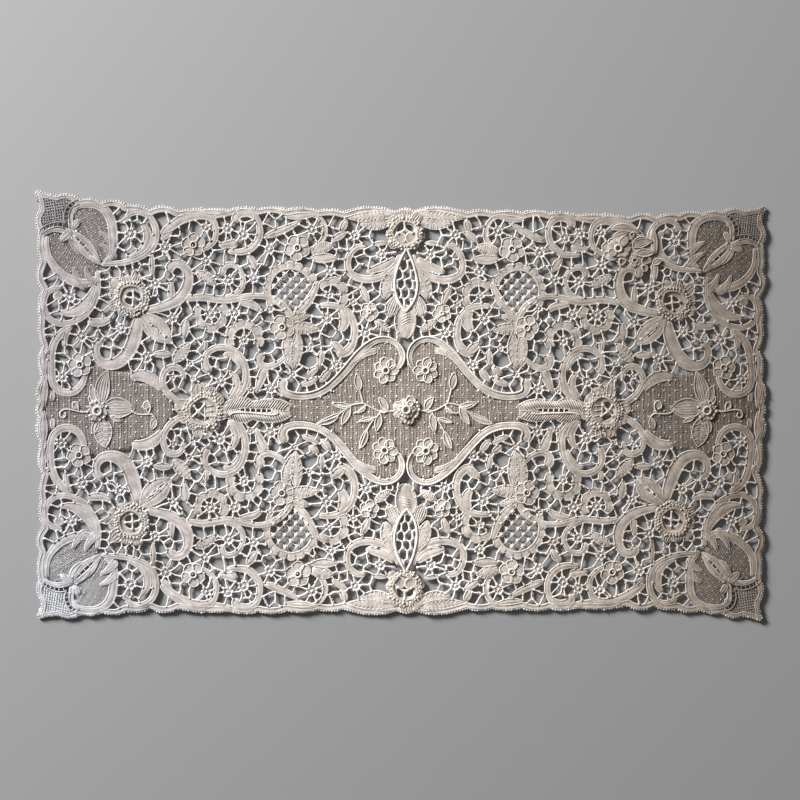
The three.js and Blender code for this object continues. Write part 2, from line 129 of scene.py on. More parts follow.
# Leaves with a slit down the middle: base and tip, width, where the slit begins and ends, rungs.
SPLIT_LEAVES = [
    (101, 265, 69, 229, 12.5, 0.22, 0.78, 5), (140.5, 314.5, 171.5, 343, 20.5, 0.26, 0.8, 4),
]
# Lobes that run from the pods' bands over the net, and leaves beside the slit core: points along the middle, widths.
POD_LEAVES = [
    ([(116, 259), (111.5, 252.5), (106, 247.5), (99.5, 244)], [9, 8.5, 6, 2]), ([(117.5, 247), (112, 240.5), (106, 235.5), (99, 232)], [9, 8.5, 6, 2]),
    ([(98.5, 286), (92, 280.5), (87.5, 273.5), (85, 265.5)], [9, 8.5, 6, 2]), ([(87, 288), (80.5, 282.5), (75.5, 275), (72.5, 266.5)], [9, 8.5, 6, 2]),
    ([(84, 256), (78, 251.5), (73, 244.5), (70, 236.5)], [2, 5.5, 6, 3.5]), ([(92, 250), (86.5, 243), (80.5, 237), (73.5, 232)], [2, 5.5, 6, 3.5]),
]
# Round knobs at the curled ends: middle and radius.
KNOBS = [
    (59, 296, 5.2),
]
# Petals in an arc round a wheel: middle, inner and outer radius, from and to angle, petals.
FANS = [
    (211, 314, 9.4, 18.6, 150, 402, 5), (245, 339, 10.2, 20.4, -32, 210, 6), (331, 296, 10.2, 19.6, -40, 144, 4),
    (291, 290, 20.5, 29.2, 20, 220, 10),
]
# Small flowers: middle, reach, petals, turn, radius of the ring at the eye.
FLOWERS = [
    (193.5, 245, 12.0, 5, 18, 3.6), (298, 247.5, 13.0, 5, 50, 3.6), (282.5, 327, 12.5, 5, 40, 3.6),
    (80, 365.5, 12.0, 5, 30, 3.6), (369.5, 312.5, 9.5, 5, 60, 2.2),
]
# Wheels: middle, radius of the ring of knots, legs.
WHEELS = [
    (131, 234, 5.6, 8), (166, 247, 5.8, 8), (206, 228, 5.0, 8), (228, 229, 5.6, 7), (244, 235, 5.6, 8),
    (206, 262, 5.2, 7), (156, 284, 5.2, 7), (229, 281, 5.2, 7), (254, 278, 5.2, 7), (270, 250, 5.4, 7),
    (312, 230, 5.6, 8), (355, 235, 5.0, 7), (381, 255, 5.2, 7), (331, 271, 5.2, 7), (330, 295, 4.2, 6),
    (327, 319, 6.0, 8), (354, 303, 4.2, 6), (366, 333, 5.6, 7), (337, 365, 5.2, 7), (310, 349, 3.8, 5),
    (294, 374.5, 3.6, 4), (271, 389, 5.8, 7), (251, 390, 4.0, 5), (221, 382, 5.6, 8), (245, 340, 5.0, 7),
    (211, 313.5, 5.8, 8), (235, 313, 5.6, 8), (173, 318.5, 5.2, 7), (147, 358, 5.6, 7), (173, 376.5, 3.6, 5),
    (190, 363, 3.8, 4), (193, 378, 3.0, 4), (122, 329.5, 5.2, 7), (83, 337, 5.8, 7), (62, 377.5, 5.6, 8),
    (71, 297, 5.8, 8), (270, 308, 4.2, 5),
]
# Main gaps of the ground: middle, half width and half height. The first three are open in the CAD too, and so on.
GAPS = [
    (309, 360, 8, 6.5), (269, 347, 7, 6), (218, 257, 6.6, 5.6), (328.5, 331, 5.5, 6), (250.5, 352.5, 4.8, 6.5),
    (222, 364.5, 6, 4.8), (193, 370.5, 5.8, 3.8), (197.5, 333.5, 5.5, 4), (158.5, 366, 4.3, 7.5), (149, 345, 5.2, 5),
    (83, 323.5, 5, 5), (366, 242, 5.5, 4.8), (363.5, 260, 5.5, 4), (379, 285.5, 4.4, 5.4), (305, 344.5, 4.6, 7),
    (145, 271, 4.2, 6), (137, 226, 4.3, 4), (126.5, 244, 5, 4.2), (136, 243.5, 3.3, 4), (176.5, 282.5, 4.2, 4.2),
    (184, 229, 3.2, 5.8), (175.5, 241, 4.8, 4.2), (268, 261, 6.2, 3.4), (213.5, 270.5, 4.6, 5.2), (186.5, 311, 3.9, 6.2),
    (252.5, 313.5, 4, 5.7), (266, 315, 4, 5), (279, 247, 4, 3.8), (335.5, 223.5, 4, 4.4), (332, 231.5, 5.6, 2.9),
    (359.5, 317, 4, 4.3), (355, 283, 4, 4.2), (269, 335.5, 5.8, 3.8), (219.5, 338, 4.5, 5), (170.5, 384.5, 4.8, 3.8),
    (287, 367, 4.3, 5.3), (346.5, 334, 4.4, 4), (113.5, 334.5, 4.3, 4.5), (106, 330, 3.4, 5.2), (62, 357.5, 4.8, 3.3),
    (117, 352, 4, 3.6), (340.5, 266, 3.3, 4.5), (343, 244, 4.3, 3.6), (333.5, 245, 2.8, 3.6), (316, 347, 3.9, 6.7),
    (325.5, 341, 3.7, 5.6), (173, 255.5, 5, 3.5), (163, 261.5, 5.8, 2.7), (145, 261, 4, 2.9), (130, 269, 3.2, 5.4),
    (175, 226, 5.4, 2.4), (203.5, 222, 4.8, 2.8), (217.5, 222.5, 4, 4.3), (226, 238, 5.3, 2.4), (247, 227, 4.8, 2.9),
    (242.5, 260, 3.8, 4.3), (258, 289, 5.2, 3.4), (270, 240, 4.4, 3.8), (279.5, 257, 4.4, 3.5), (318, 268, 2.8, 5.4),
    (374, 296, 4.4, 3.9), (380, 301, 5.3, 2.8), (355.5, 297.5, 4.3, 3.6), (395, 333, 2.8, 6.3), (402, 337, 3.2, 4.8),
    (217.5, 354.5, 6, 2.7), (219.5, 392.5, 5.8, 2.8), (264.5, 326.5, 3.9, 4.9), (303.5, 372, 4.3, 4.3), (92, 331, 4, 5.2),
    (114.5, 321, 2.8, 6.3), (196, 357.5, 5.2, 4.8), (177.5, 395, 5.7, 3.7), (147, 285, 3.4, 4.4), (166, 284.5, 3.4, 4.8),
    (162, 295.5, 3.4, 4.9), (103, 267, 3.3, 2.8), (104.5, 275, 3.5, 3.2), (105, 283.5, 3.4, 3.3), (105.5, 292, 4.2, 2.9),
    (101.5, 305, 4.2, 4), (73.5, 341, 4, 3.7),
]

# ---------------------------------------------------------------- placing
def chart(x, y):
    """Chart units to units from the chart's middle, up and right."""
    return x - CHART_X, CHART_Y - y


def place(u, v):
    """Units from the middle to settled millimetres in the frame. Works on either side of both middle lines."""
    u, v = np.asarray(u, float), np.asarray(v, float)
    out, up = np.abs(u), np.abs(v)
    sx, sy = np.where(u >= 0, 1, -1), np.where(v >= 0, 1, -1)
    s, t = np.clip(out / HALF_OUT, 0, 1), np.clip(up / HALF_UP, 0, 1)
    o = out - np.where(sx > 0, END_IN * s**END_POWER, 0)
    w = up.copy()
    for (cx, cy), (in_up, in_out, po, pu) in CORNERS.items():
        here = (sx == cx) & (sy == cy)
        pull = np.where(here, s**po * t**pu, 0)
        w = w - in_up * pull
        o = o - in_out * pull
    x, y = sx * o * MM + MIDDLE_X, sy * w * MM + MIDDLE_Y
    # worked by hand, so lines are never quite true
    dx = 0.30 * np.sin(0.061 * x + 0.083 * y + 0.7) + 0.22 * np.sin(0.19 * y - 0.07 * x + 2.0)
    dy = 0.30 * np.sin(0.071 * y - 0.053 * x + 1.9) + 0.22 * np.sin(0.17 * x + 0.09 * y + 0.4)
    return x + dx, y + dy


class Thread:
    """Collects points (units from the middle, z in millimetres) and faces of things worked in one thread."""

    def __init__(self):
        self.points, self.quads, self.tris, self.along, self.count = [], [], [], [], 0

    def add(self, points, quads=None, tris=None, along=None):
        points = np.asarray(points, float)
        self.points.append(points)
        if quads is not None and len(quads):
            self.quads.append(np.asarray(quads, int) + self.count)
        if tris is not None and len(tris):
            self.tris.append(np.asarray(tris, int) + self.count)
        self.along.append(np.tile([0.0, 0.0, 1.0], (len(points), 1)) if along is None else np.asarray(along, float))
        self.count += len(points)

    def arrays(self):
        join = lambda a, w: np.concatenate(a) if a else np.zeros((0, w), int)
        return np.concatenate(self.points), join(self.quads, 4), join(self.tris, 3), np.concatenate(self.along)

    def take(self, other, mx=1, my=1):
        """Adds all of another collection, mirrored."""
        if not other.count:
            return
        p, q, t, a = other.arrays()
        p = p * np.array([mx, my, 1.0])
        if mx * my < 0:
            q, t = q[:, ::-1], t[:, ::-1]
        self.add(p, q, t, a)

    def triangles(self):
        return 2 * sum(len(q) for q in self.quads) + sum(len(t) for t in self.tris)


def curve(points, step=1.6):
    """A smooth line through points, sampled evenly."""
    p = np.asarray(points, float)
    if len(p) == 2:
        n = max(2, int(round(np.linalg.norm(p[1] - p[0]) / step)) + 1)
        return p[0] + (p[1] - p[0]) * np.linspace(0, 1, n)[:, None]
    e = np.vstack([2 * p[0] - p[1], p, 2 * p[-1] - p[-2]])
    made = []
    for i in range(1, len(e) - 2):
        p0, p1, p2, p3 = e[i - 1 : i + 3]
        k = [0.0]
        for a, b in ((p0, p1), (p1, p2), (p2, p3)):
            k.append(k[-1] + max(np.linalg.norm(b - a), 1e-6) ** 0.5)
        t = np.linspace(k[1], k[2], 14, endpoint=False)[:, None]
        a1 = (k[1] - t) / (k[1] - k[0]) * p0 + (t - k[0]) / (k[1] - k[0]) * p1
        a2 = (k[2] - t) / (k[2] - k[1]) * p1 + (t - k[1]) / (k[2] - k[1]) * p2
        a3 = (k[3] - t) / (k[3] - k[2]) * p2 + (t - k[2]) / (k[3] - k[2]) * p3
        b1 = (k[2] - t) / (k[2] - k[0]) * a1 + (t - k[0]) / (k[2] - k[0]) * a2
        b2 = (k[3] - t) / (k[3] - k[1]) * a2 + (t - k[1]) / (k[3] - k[1]) * a3
        made.append((k[2] - t) / (k[2] - k[1]) * b1 + (t - k[1]) / (k[2] - k[1]) * b2)
    line = np.vstack(made + [p[-1:]])
    return even(line, step)


def even(line, step, closed=False):
    if closed:
        line = np.vstack([line, line[:1]])
    d = np.concatenate([[0], np.cumsum(np.linalg.norm(np.diff(line, axis=0), axis=1))])
    n = max(3, int(round(d[-1] / step)) + 1)
    at = np.linspace(0, d[-1], n)
    got = np.stack([np.interp(at, d, line[:, i]) for i in range(line.shape[1])], 1)
    return got[:-1] if closed else got


def sideways(line, closed=False):
    if closed:
        d = np.roll(line, -1, 0) - np.roll(line, 1, 0)
    else:
        d = np.gradient(line, axis=0)
    d = d / np.maximum(np.linalg.norm(d, axis=1, keepdims=True), 1e-9)
    return np.stack([-d[:, 1], d[:, 0]], 1)


def loops(rows, across, closed):
    """Quads joining consecutive rows of points, each row a closed section."""
    i = np.arange(rows if closed else rows - 1)[:, None]
    j = np.arange(across)[None, :]
    k, m = (i + 1) % rows, (j + 1) % across
    return np.stack([i * across + j, k * across + j, k * across + m, i * across + m], -1).reshape(-1, 4)


def fan_caps(rows, across):
    first = [[0, j, j + 1] for j in range(1, across - 1)]
    b = (rows - 1) * across
    last = [[b, b + j + 1, b + j] for j in range(1, across - 1)]
    return first + last


CORD = 1.25  # width of the cord round an edge, in chart units
GROOVE_SHADE = -0.10  # below nought is painted shade: the groove between a cord and the cloth is darkened as its shadow
OUTLINES = []  # what is covered by worked cloth in the charted quarter


def band(thread, line, half, low=0.12, top=0.82, rise=0.3, crown=0.12, rib=0.0, keep=True, lift=0.0, tone=0.0, groove_shade=GROOVE_SHADE):
    """Close cloth between two corded edges, along a line. half is its half width at each point."""
    half = np.maximum(np.asarray(half, float), 0.3)
    n = len(line)
    side = sideways(line)
    c = np.minimum(CORD, 0.55 * half)
    grow = np.clip(half / 2.2, 0.45, 1)  # narrow ends lie lower
    top_, rise_ = low + (top - low) * grow + lift, rise * np.clip(half / 1.6, 0.35, 1)
    inner = half - c
    offs = [-half, -half - 0.08, -half + 0.45 * c, -inner]
    zs = [np.full(n, low), low + (top_ - low) * 0.72, top_ + rise_, top_ - 0.02]
    # the groove just inside each cord takes a painted shade tone
    cord = [0.4, 0.9, 1.0, groove_shade]
    mirror = list(zip([-o for o in offs], zs, cord))[::-1]
    for share in (-0.62, 0.0, 0.62) if half.max() > 3.1 else (0.0,):
        offs.append(share * inner)
        zs.append(top_ + crown * (1.3 if share == 0 else 1.0) + (rib * np.clip(half / 3, 0, 1) if share == 0 else 0))
        cord.append(tone - 0.1 * share + (0.12 if share == 0 and rib > 0.1 else 0.04))
    for o, z, e in mirror:
        offs.append(o); zs.append(z); cord.append(e)
    k = len(offs)
    pts = np.zeros((n, k, 3))
    length = np.concatenate([[0], np.cumsum(np.linalg.norm(np.diff(line, axis=0), axis=1))]) * MM
    along = np.zeros((n, k, 3))
    along[:, :, 0] = length[:, None]
    for j in range(k):
        pts[:, j, :2] = line + side * offs[j][:, None]
        pts[:, j, 2] = zs[j]
        along[:, j, 1] = offs[j] * MM
        along[:, j, 2] = cord[j]
    thread.add(pts.reshape(-1, 3), loops(n, k, False), fan_caps(n, k), along.reshape(-1, 3))
    if keep:
        OUTLINES.append(np.vstack([line + side * half[:, None], (line - side * half[:, None])[::-1]]))


def widths(n, table):
    """Half widths along a band, rounded off at both ends."""
    t = np.linspace(0, 1, n)
    w = np.interp(t, np.linspace(0, 1, len(table)), table) / 2
    smooth = np.convolve(np.pad(w, 3, mode="edge"), np.ones(7) / 7, "valid")
    return smooth


def rounded(line, half, ends=(True, True)):
    d = np.concatenate([[0], np.cumsum(np.linalg.norm(np.diff(line, axis=0), axis=1))])
    for which, dist in ((0, d), (1, d[-1] - d)):
        if ends[which]:
            reach = half[0 if which == 0 else -1]
            near = np.clip(dist / max(reach, 0.5), 0, 1)
            half = half * np.sqrt(np.clip(1 - (1 - near) ** 2, 0.03, 1))
    return half


def scroll(thread, points, table, rib=0.0, keep=True, ends=(True, True), lift=0.0):
    line = curve([chart(*p) for p in points], 2.15)
    half = rounded(line, widths(len(line), table), ends)
    band(thread, line, half, rib=rib, keep=keep, lift=lift)


def ridges(thread, line, half, shares, lift=0.0):
    """Raised lines of stitching along a band, at shares of its half width."""
    side = sideways(line)
    open_ = half > 2.0
    if open_.sum() < 4:
        return
    k0, k1 = np.nonzero(open_)[0][[0, -1]]
    for share in shares:
        run = line[k0 : k1 + 1] + side[k0 : k1 + 1] * (half[k0 : k1 + 1] * share)[:, None]
        r = np.full(len(run), 0.42)
        r[[0, -1]] = 0.2
        tube(thread, run, r, 0.97 + lift, sides=4, flat=0.9, cord=0.45)


def tube(thread, line, radius, z, sides=6, closed=False, flat=0.85, cord=1.0):
    """A round cord along a line; radius in chart units, z of its middle in millimetres."""
    n = len(line)
    side = sideways(line, closed)
    r = np.broadcast_to(np.asarray(radius, float), (n,))
    z = np.broadcast_to(np.asarray(z, float), (n,))
    a = 2 * np.pi * np.arange(sides) / sides
    pts = np.zeros((n, sides, 3))
    pts[:, :, :2] = line[:, None, :] + side[:, None, :] * (r[:, None] * np.cos(a))[:, :, None]
    pts[:, :, 2] = z[:, None] + r[:, None] * MM * flat * np.sin(a)
    length = np.concatenate([[0], np.cumsum(np.linalg.norm(np.diff(line, axis=0), axis=1))]) * MM
    along = np.full((n, sides, 3), cord)
    along[:, :, 0] = length[:, None]
    along[:, :, 1] = (a / (2 * np.pi))[None, :]
    thread.add(pts.reshape(-1, 3), loops(n, sides, closed)[:, ::-1], None if closed else [t[::-1] for t in fan_caps(n, sides)], along.reshape(-1, 3))


def circle(x, y, r, n=20, turn=0.0, squash=1.0):
    a = 2 * np.pi * np.arange(n) / n + turn
    u, v = chart(x, y)
    return np.stack([u + r * np.cos(a), v + r * squash * np.sin(a)], 1)


# a small knot of thread: a faceted ball that shades round
_a = np.array([[0, 0, 1], [0, 0, -1]] + [[math.cos(k * math.pi / 3), math.sin(k * math.pi / 3), 0.35] for k in range(6)] + [[math.cos((k + 0.5) * math.pi / 3), math.sin((k + 0.5) * math.pi / 3), -0.45] for k in range(6)])
_t = []
for _k in range(6):
    _n = (_k + 1) % 6
    _t += [[0, 2 + _k, 2 + _n], [2 + _k, 8 + _k, 2 + _n], [2 + _n, 8 + _k, 8 + _n], [1, 8 + _n, 8 + _k]]
KNOT_P, KNOT_T = _a, np.array(_t)


def knots(thread, places, radius, z, tall=0.8, cord=1.0):
    """Many knots at once: places (N,2), radius in chart units, z of the middle in millimetres."""
    places = np.asarray(places, float).reshape(-1, 2)
    n = len(places)
    if not n:
        return
    r = np.broadcast_to(np.asarray(radius, float), (n,))
    z = np.broadcast_to(np.asarray(z, float), (n,))
    p = KNOT_P[None] * np.stack([r, r, r * MM * tall], 1)[:, None, :]
    p[:, :, :2] += places[:, None, :]
    p[:, :, 2] += z[:, None]
    t = KNOT_T[None] + (np.arange(n) * len(KNOT_P))[:, None, None]
    thread.add(p.reshape(-1, 3), None, t.reshape(-1, 3), np.tile([0.0, 0.0, cord], (p.size // 3, 1)))


def contour(thread, line, half, radius, z):
    """A cord laid round a leaf or petal, just inside its edge."""
    side = sideways(line)
    w = np.maximum(half - 0.45, 0.25)[:, None]
    tube(thread, np.vstack([line + side * w, (line - side * w)[::-1]]), radius, z, sides=5, closed=True)


def leaf(thread, x0, y0, x1, y1, width, bend=0.0, veins=0, keep=True, lift=0.0, rib=0.22, blunt=0.7, groove_shade=-0.26, outline=0.0):
    a, b = np.array(chart(x0, y0)), np.array(chart(x1, y1))
    d = b - a
    nrm = np.array([-d[1], d[0]]) / max(np.linalg.norm(d), 1e-6)
    n = max(7, int(round(np.linalg.norm(d) / 2.0)) + 1)
    t = np.linspace(0, 1, n)
    line = a + d * t[:, None] + nrm * (bend * 4 * t * (1 - t))[:, None]
    half = width / 2 * np.sin(np.pi * np.clip(t, 0.012, 0.988) ** 0.9) ** blunt
    band(thread, line, half, rise=0.4, rib=0.0 if veins < 0 else rib, keep=keep, lift=lift, groove_shade=groove_shade)
    if outline:
        contour(thread, line, half, outline, 1.02 + lift)
    if veins < 0:
        ridges(thread, line, half, np.linspace(-0.55, 0.55, -veins), lift)
    if veins > 0:
        side = sideways(line)
        for i in range(veins):
            at = 0.2 + 0.62 * (i + 0.5) / veins
            k = int(at * (n - 1))
            m = min(n - 1, k + max(1, int(0.10 * n)))
            for s in (-1, 1):
                end = line[m] + side[m] * s * (half[m] - 0.9)
                tube(thread, np.stack([line[k], (line[k] + end) / 2, end]), [0.36, 0.42, 0.32], 0.99 + lift, sides=4, flat=0.9, cord=0.55)


def ring(thread, x, y, r, tube_r, z, sides=6, steps=18, stitches=0, wave=0.0, squash=1.0, flat=0.85):
    line = circle(x, y, r, steps, squash=squash)
    rad = np.full(len(line), tube_r)
    if stitches:
        rad = rad * (1 + wave * np.cos(stitches * 2 * np.pi * np.arange(steps) / steps))
    tube(thread, line, rad, z, sides, True, flat)


def knob(thread, x, y, r, keep=True, lift=0.0):
    """A little padded disc with a corded rim."""
    n = 16
    rows = [(1.0, 0.12), (1.02, 0.62), (0.88, 1.0), (0.68, 1.0), (0.42, 0.88), (0.16, 0.82)]
    u, v = chart(x, y)
    a = 2 * np.pi * np.arange(n) / n
    pts, along = [], []
    for share, z in rows:
        pts.append(np.stack([u + r * share * np.cos(a), v + r * share * np.sin(a), np.full(n, z + (lift if z > 0.2 else 0))], 1))
        # the rim is painted lighter and the dished middle painted darker, as light and shade
        along.append(np.stack([np.full(n, r * share * MM), a * r * MM, np.full(n, 0.6 if share > 0.8 else 0.25 if share > 0.5 else -0.05)], 1))
    pts = np.vstack(pts + [[[u, v, 0.85 + lift], [u, v, 0.12]]])
    along = np.vstack(along + [[[0, 0, 0.1], [0, 0, 0.1]]])
    quads = loops(len(rows), n, False)[:, ::-1]
    top, low, last = len(rows) * n, len(rows) * n + 1, (len(rows) - 1) * n
    tris = [[top, last + j, last + (j + 1) % n] for j in range(n)] + [[low, (j + 1) % n, j] for j in range(n)]
    thread.add(pts, quads, tris, along)
    if keep:
        OUTLINES.append(circle(x, y, r, 16))


def petal(thread, x, y, angle, r0, r1, width, keep=True, lift=0.0, rib=-0.1, base=0.45, tone=0.3, blunt=0.6, rise=0.4, groove_shade=-0.22, outline=0.0, lines=()):
    """A rounded petal that leaves a middle at an angle."""
    u, v = chart(x, y)
    d = np.array([math.cos(angle), math.sin(angle)])
    n = max(7, int((r1 - r0) / 1.5) + 1)
    t = np.linspace(0, 1, n)
    line = np.array([u, v]) + d * (r0 + (r1 - r0) * t)[:, None]
    half = width / 2 * (base + (1 - base) * np.sin(np.pi / 2 * np.clip(t / 0.6, 0, 1)))
    half = half * np.sqrt(np.clip(1 - np.clip((t - blunt) / (1 - blunt), 0, 1) ** 2, 0.02, 1))
    band(thread, line, half, rise=rise, rib=rib, keep=keep, lift=lift, tone=tone, groove_shade=groove_shade)
    ridges(thread, line, half, lines, lift)
    if outline:
        contour(thread, line, half, outline, 1.02 + lift)


def flower(thread, x, y, reach, petals, turn, eye, keep=True, lift=0.0):
    w = 2 * reach * math.sin(math.pi / petals) * 0.86
    for k in range(petals):
        petal(thread, x, y, math.radians(turn) + 2 * math.pi * k / petals, max(eye - 0.6, 0.4), reach, w, keep, lift + 0.05 * (k % 2), tone=0.0, blunt=0.45, base=0.5, rise=0.2, outline=0.6)
    if eye:
        ring(thread, x, y, eye * 0.86, 0.95, 1.35 + lift, stitches=9, wave=0.1)
        knots(thread, [chart(x - 0.6, y + 0.5)], 0.95, 1.2 + lift)
        if keep:
            OUTLINES.append(circle(x, y, eye, 12))


def fan(thread, x, y, r0, r1, a0, a1, petals, keep=True):
    """A lobed collar of cloth round a wheel, corded on both edges, with a fold between the lobes."""
    f = np.linspace(0, 1, petals * 9 + 1)
    th = np.radians(a0 + (a1 - a0) * f)
    s = np.abs(np.sin(np.pi * petals * f))
    fold = (1 - s) ** 3
    deep = r1 - r0
    far = r1 + 0.06 * deep * np.sin(2.3 * np.floor(petals * f * 0.9999) + x) - 0.32 * deep * (1 - s ** 0.6)
    wide = far - r0
    nil = 0 * th
    # the last column is the tone: it drops in the folds between lobes as painted shade
    rows = [(r0 + nil, 0.12 + nil, 0.4 + nil), (r0 - 0.08 + nil, 0.62 + nil, 0.9 + nil), (r0 + 0.55 + nil, 1.08 + nil, 1.0 + nil), (r0 + 1.2 + nil, 0.82 + nil, -0.1 + nil),
            (r0 + 0.35 * wide, 0.94 - 0.1 * fold, 0.05 - 0.15 * fold), (r0 + 0.66 * wide, 0.98 - 0.4 * fold, 0.08 - 0.7 * fold), (far - 1.25, 0.86 - 0.4 * fold, -0.12 - 0.6 * fold),
            (far - 0.55, 1.1 - 0.25 * fold, 1.0 - 0.8 * fold), (far + 0.08, 0.6 + nil, 0.9 - 0.4 * fold), (far, 0.12 + nil, 0.4 + nil)]
    c = np.array(chart(x, y))
    out = np.stack([np.cos(th), np.sin(th)], 1)
    if (sideways(c + out * r0) * out).sum() < 0:
        rows = rows[::-1]
    n, k = len(th), len(rows)
    pts, along = np.zeros((n, k, 3)), np.zeros((n, k, 3))
    for j, (r, z, e) in enumerate(rows):
        pts[:, j, :2] = c + out * r[:, None]
        pts[:, j, 2] = z
        along[:, j, 0], along[:, j, 1], along[:, j, 2] = r * MM, th * r0 * MM, e
    thread.add(pts.reshape(-1, 3), loops(n, k, False), fan_caps(n, k), along.reshape(-1, 3))
    if keep:
        OUTLINES.append(np.vstack([c + out * far[:, None], (c + out * r0)[::-1]]))


def wheel(thread, x, y, r, legs, turn):
    """A worked wheel: spokes from a hub to a ring of soft lumps, with pinholes between them."""
    big = r > 4.5
    n = 8 if r > 5.3 else 7 if big else max(4, legs)
    c = np.array(chart(x, y))
    knots(thread, [c], 1.5 if big else 1.0, 0.82, tall=0.7)
    ring(thread, x, y, r * 0.75, 0.82 if big else 0.7, 0.7, sides=5, steps=14)
    for k in range(n):
        a = turn + 2 * math.pi * k / n
        tube(thread, np.stack([c, c + r * 0.75 * np.array([math.cos(a), math.sin(a)])]), 0.46, 0.7, sides=4)
    wob = rng.normal(0, 0.22, (n, 2))
    knots(thread, circle(x, y, r * 0.9, n, turn) + wob, (1.42 if big else 1.2) + rng.normal(0, 0.1, n), 0.74, tall=0.72)


def split_leaf(thread, x0, y0, x1, y1, width, t0, t1, rungs):
    """A leaf of two halves with a slit between them, crossed by short rungs."""
    a, b = np.array(chart(x0, y0)), np.array(chart(x1, y1))
    d = b - a
    nrm = np.array([-d[1], d[0]]) / np.linalg.norm(d)
    n = max(9, int(round(np.linalg.norm(d) / 1.5)) + 1)
    t = np.linspace(0, 1, n)
    half = width / 4 * np.sin(np.pi * np.clip(t, 0.012, 0.988) ** 0.9) ** 0.7
    gape = 1.8 * np.sin(np.pi * np.clip((t - t0) / (t1 - t0), 0, 1)) ** 0.6
    for s in (-1, 1):
        band(thread, a + d * t[:, None] + nrm * (s * (half * 0.96 + gape * 0.8))[:, None], half, rib=0.05)
    for k in range(rungs):
        f = t0 + (t1 - t0) * k / max(rungs - 1, 1)
        c = a + d * f
        tube(thread, np.stack([c - nrm * 2.6, c, c + nrm * 2.6]), [0.9, 0.6, 0.9], 0.6, sides=5)


def eye_bars(thread, x, y, r, cross, angles):
    """Bars that cross in a raised flower's eye, webbed where they meet."""
    c = np.array(chart(x, y))
    m = c + np.array(cross, float)
    for a in angles:
        e = c + r * np.array([math.cos(math.radians(a)), math.sin(math.radians(a))])
        t = np.linspace(0, 1, 5)
        tube(thread, m + (e - m) * t[:, None], 1.05 * (1 + 1.0 * np.abs(2 * t - 1) ** 2.2), 0.85, sides=6)
    knots(thread, [m], 2.3, 0.85, tall=0.5)


def dish(thread, x, y, r, z, squash=1.0):
    """A small round bowl of cloth with a bright rim, darkened inside as painted shade."""
    n = 18
    a = 2 * np.pi * np.arange(n) / n
    c = np.array(chart(x, y))
    # the last column is the tone: lighter on the rim, painted shade down inside the bowl
    rows = [(1.02, -0.6, 0.2), (1.0, -0.1, 0.8), (0.88, 0.08, 0.9), (0.7, -0.22, -0.15), (0.3, -0.32, 0.1)]
    pts = np.concatenate([np.stack([c[0] + r * q * np.cos(a), c[1] + r * q * squash * np.sin(a), np.full(n, z + h)], 1) for q, h, _ in rows] + [[[*c, z - 0.32]]])
    tone = np.concatenate([np.stack([a * r * MM, np.full(n, q * r * MM), np.full(n, e)], 1) for q, _, e in rows] + [[[0, 0, 0.1]]])
    last = (len(rows) - 1) * n
    thread.add(pts, loops(len(rows), n, False)[:, ::-1], [[len(rows) * n, last + j, last + (j + 1) % n] for j in range(n)], tone)


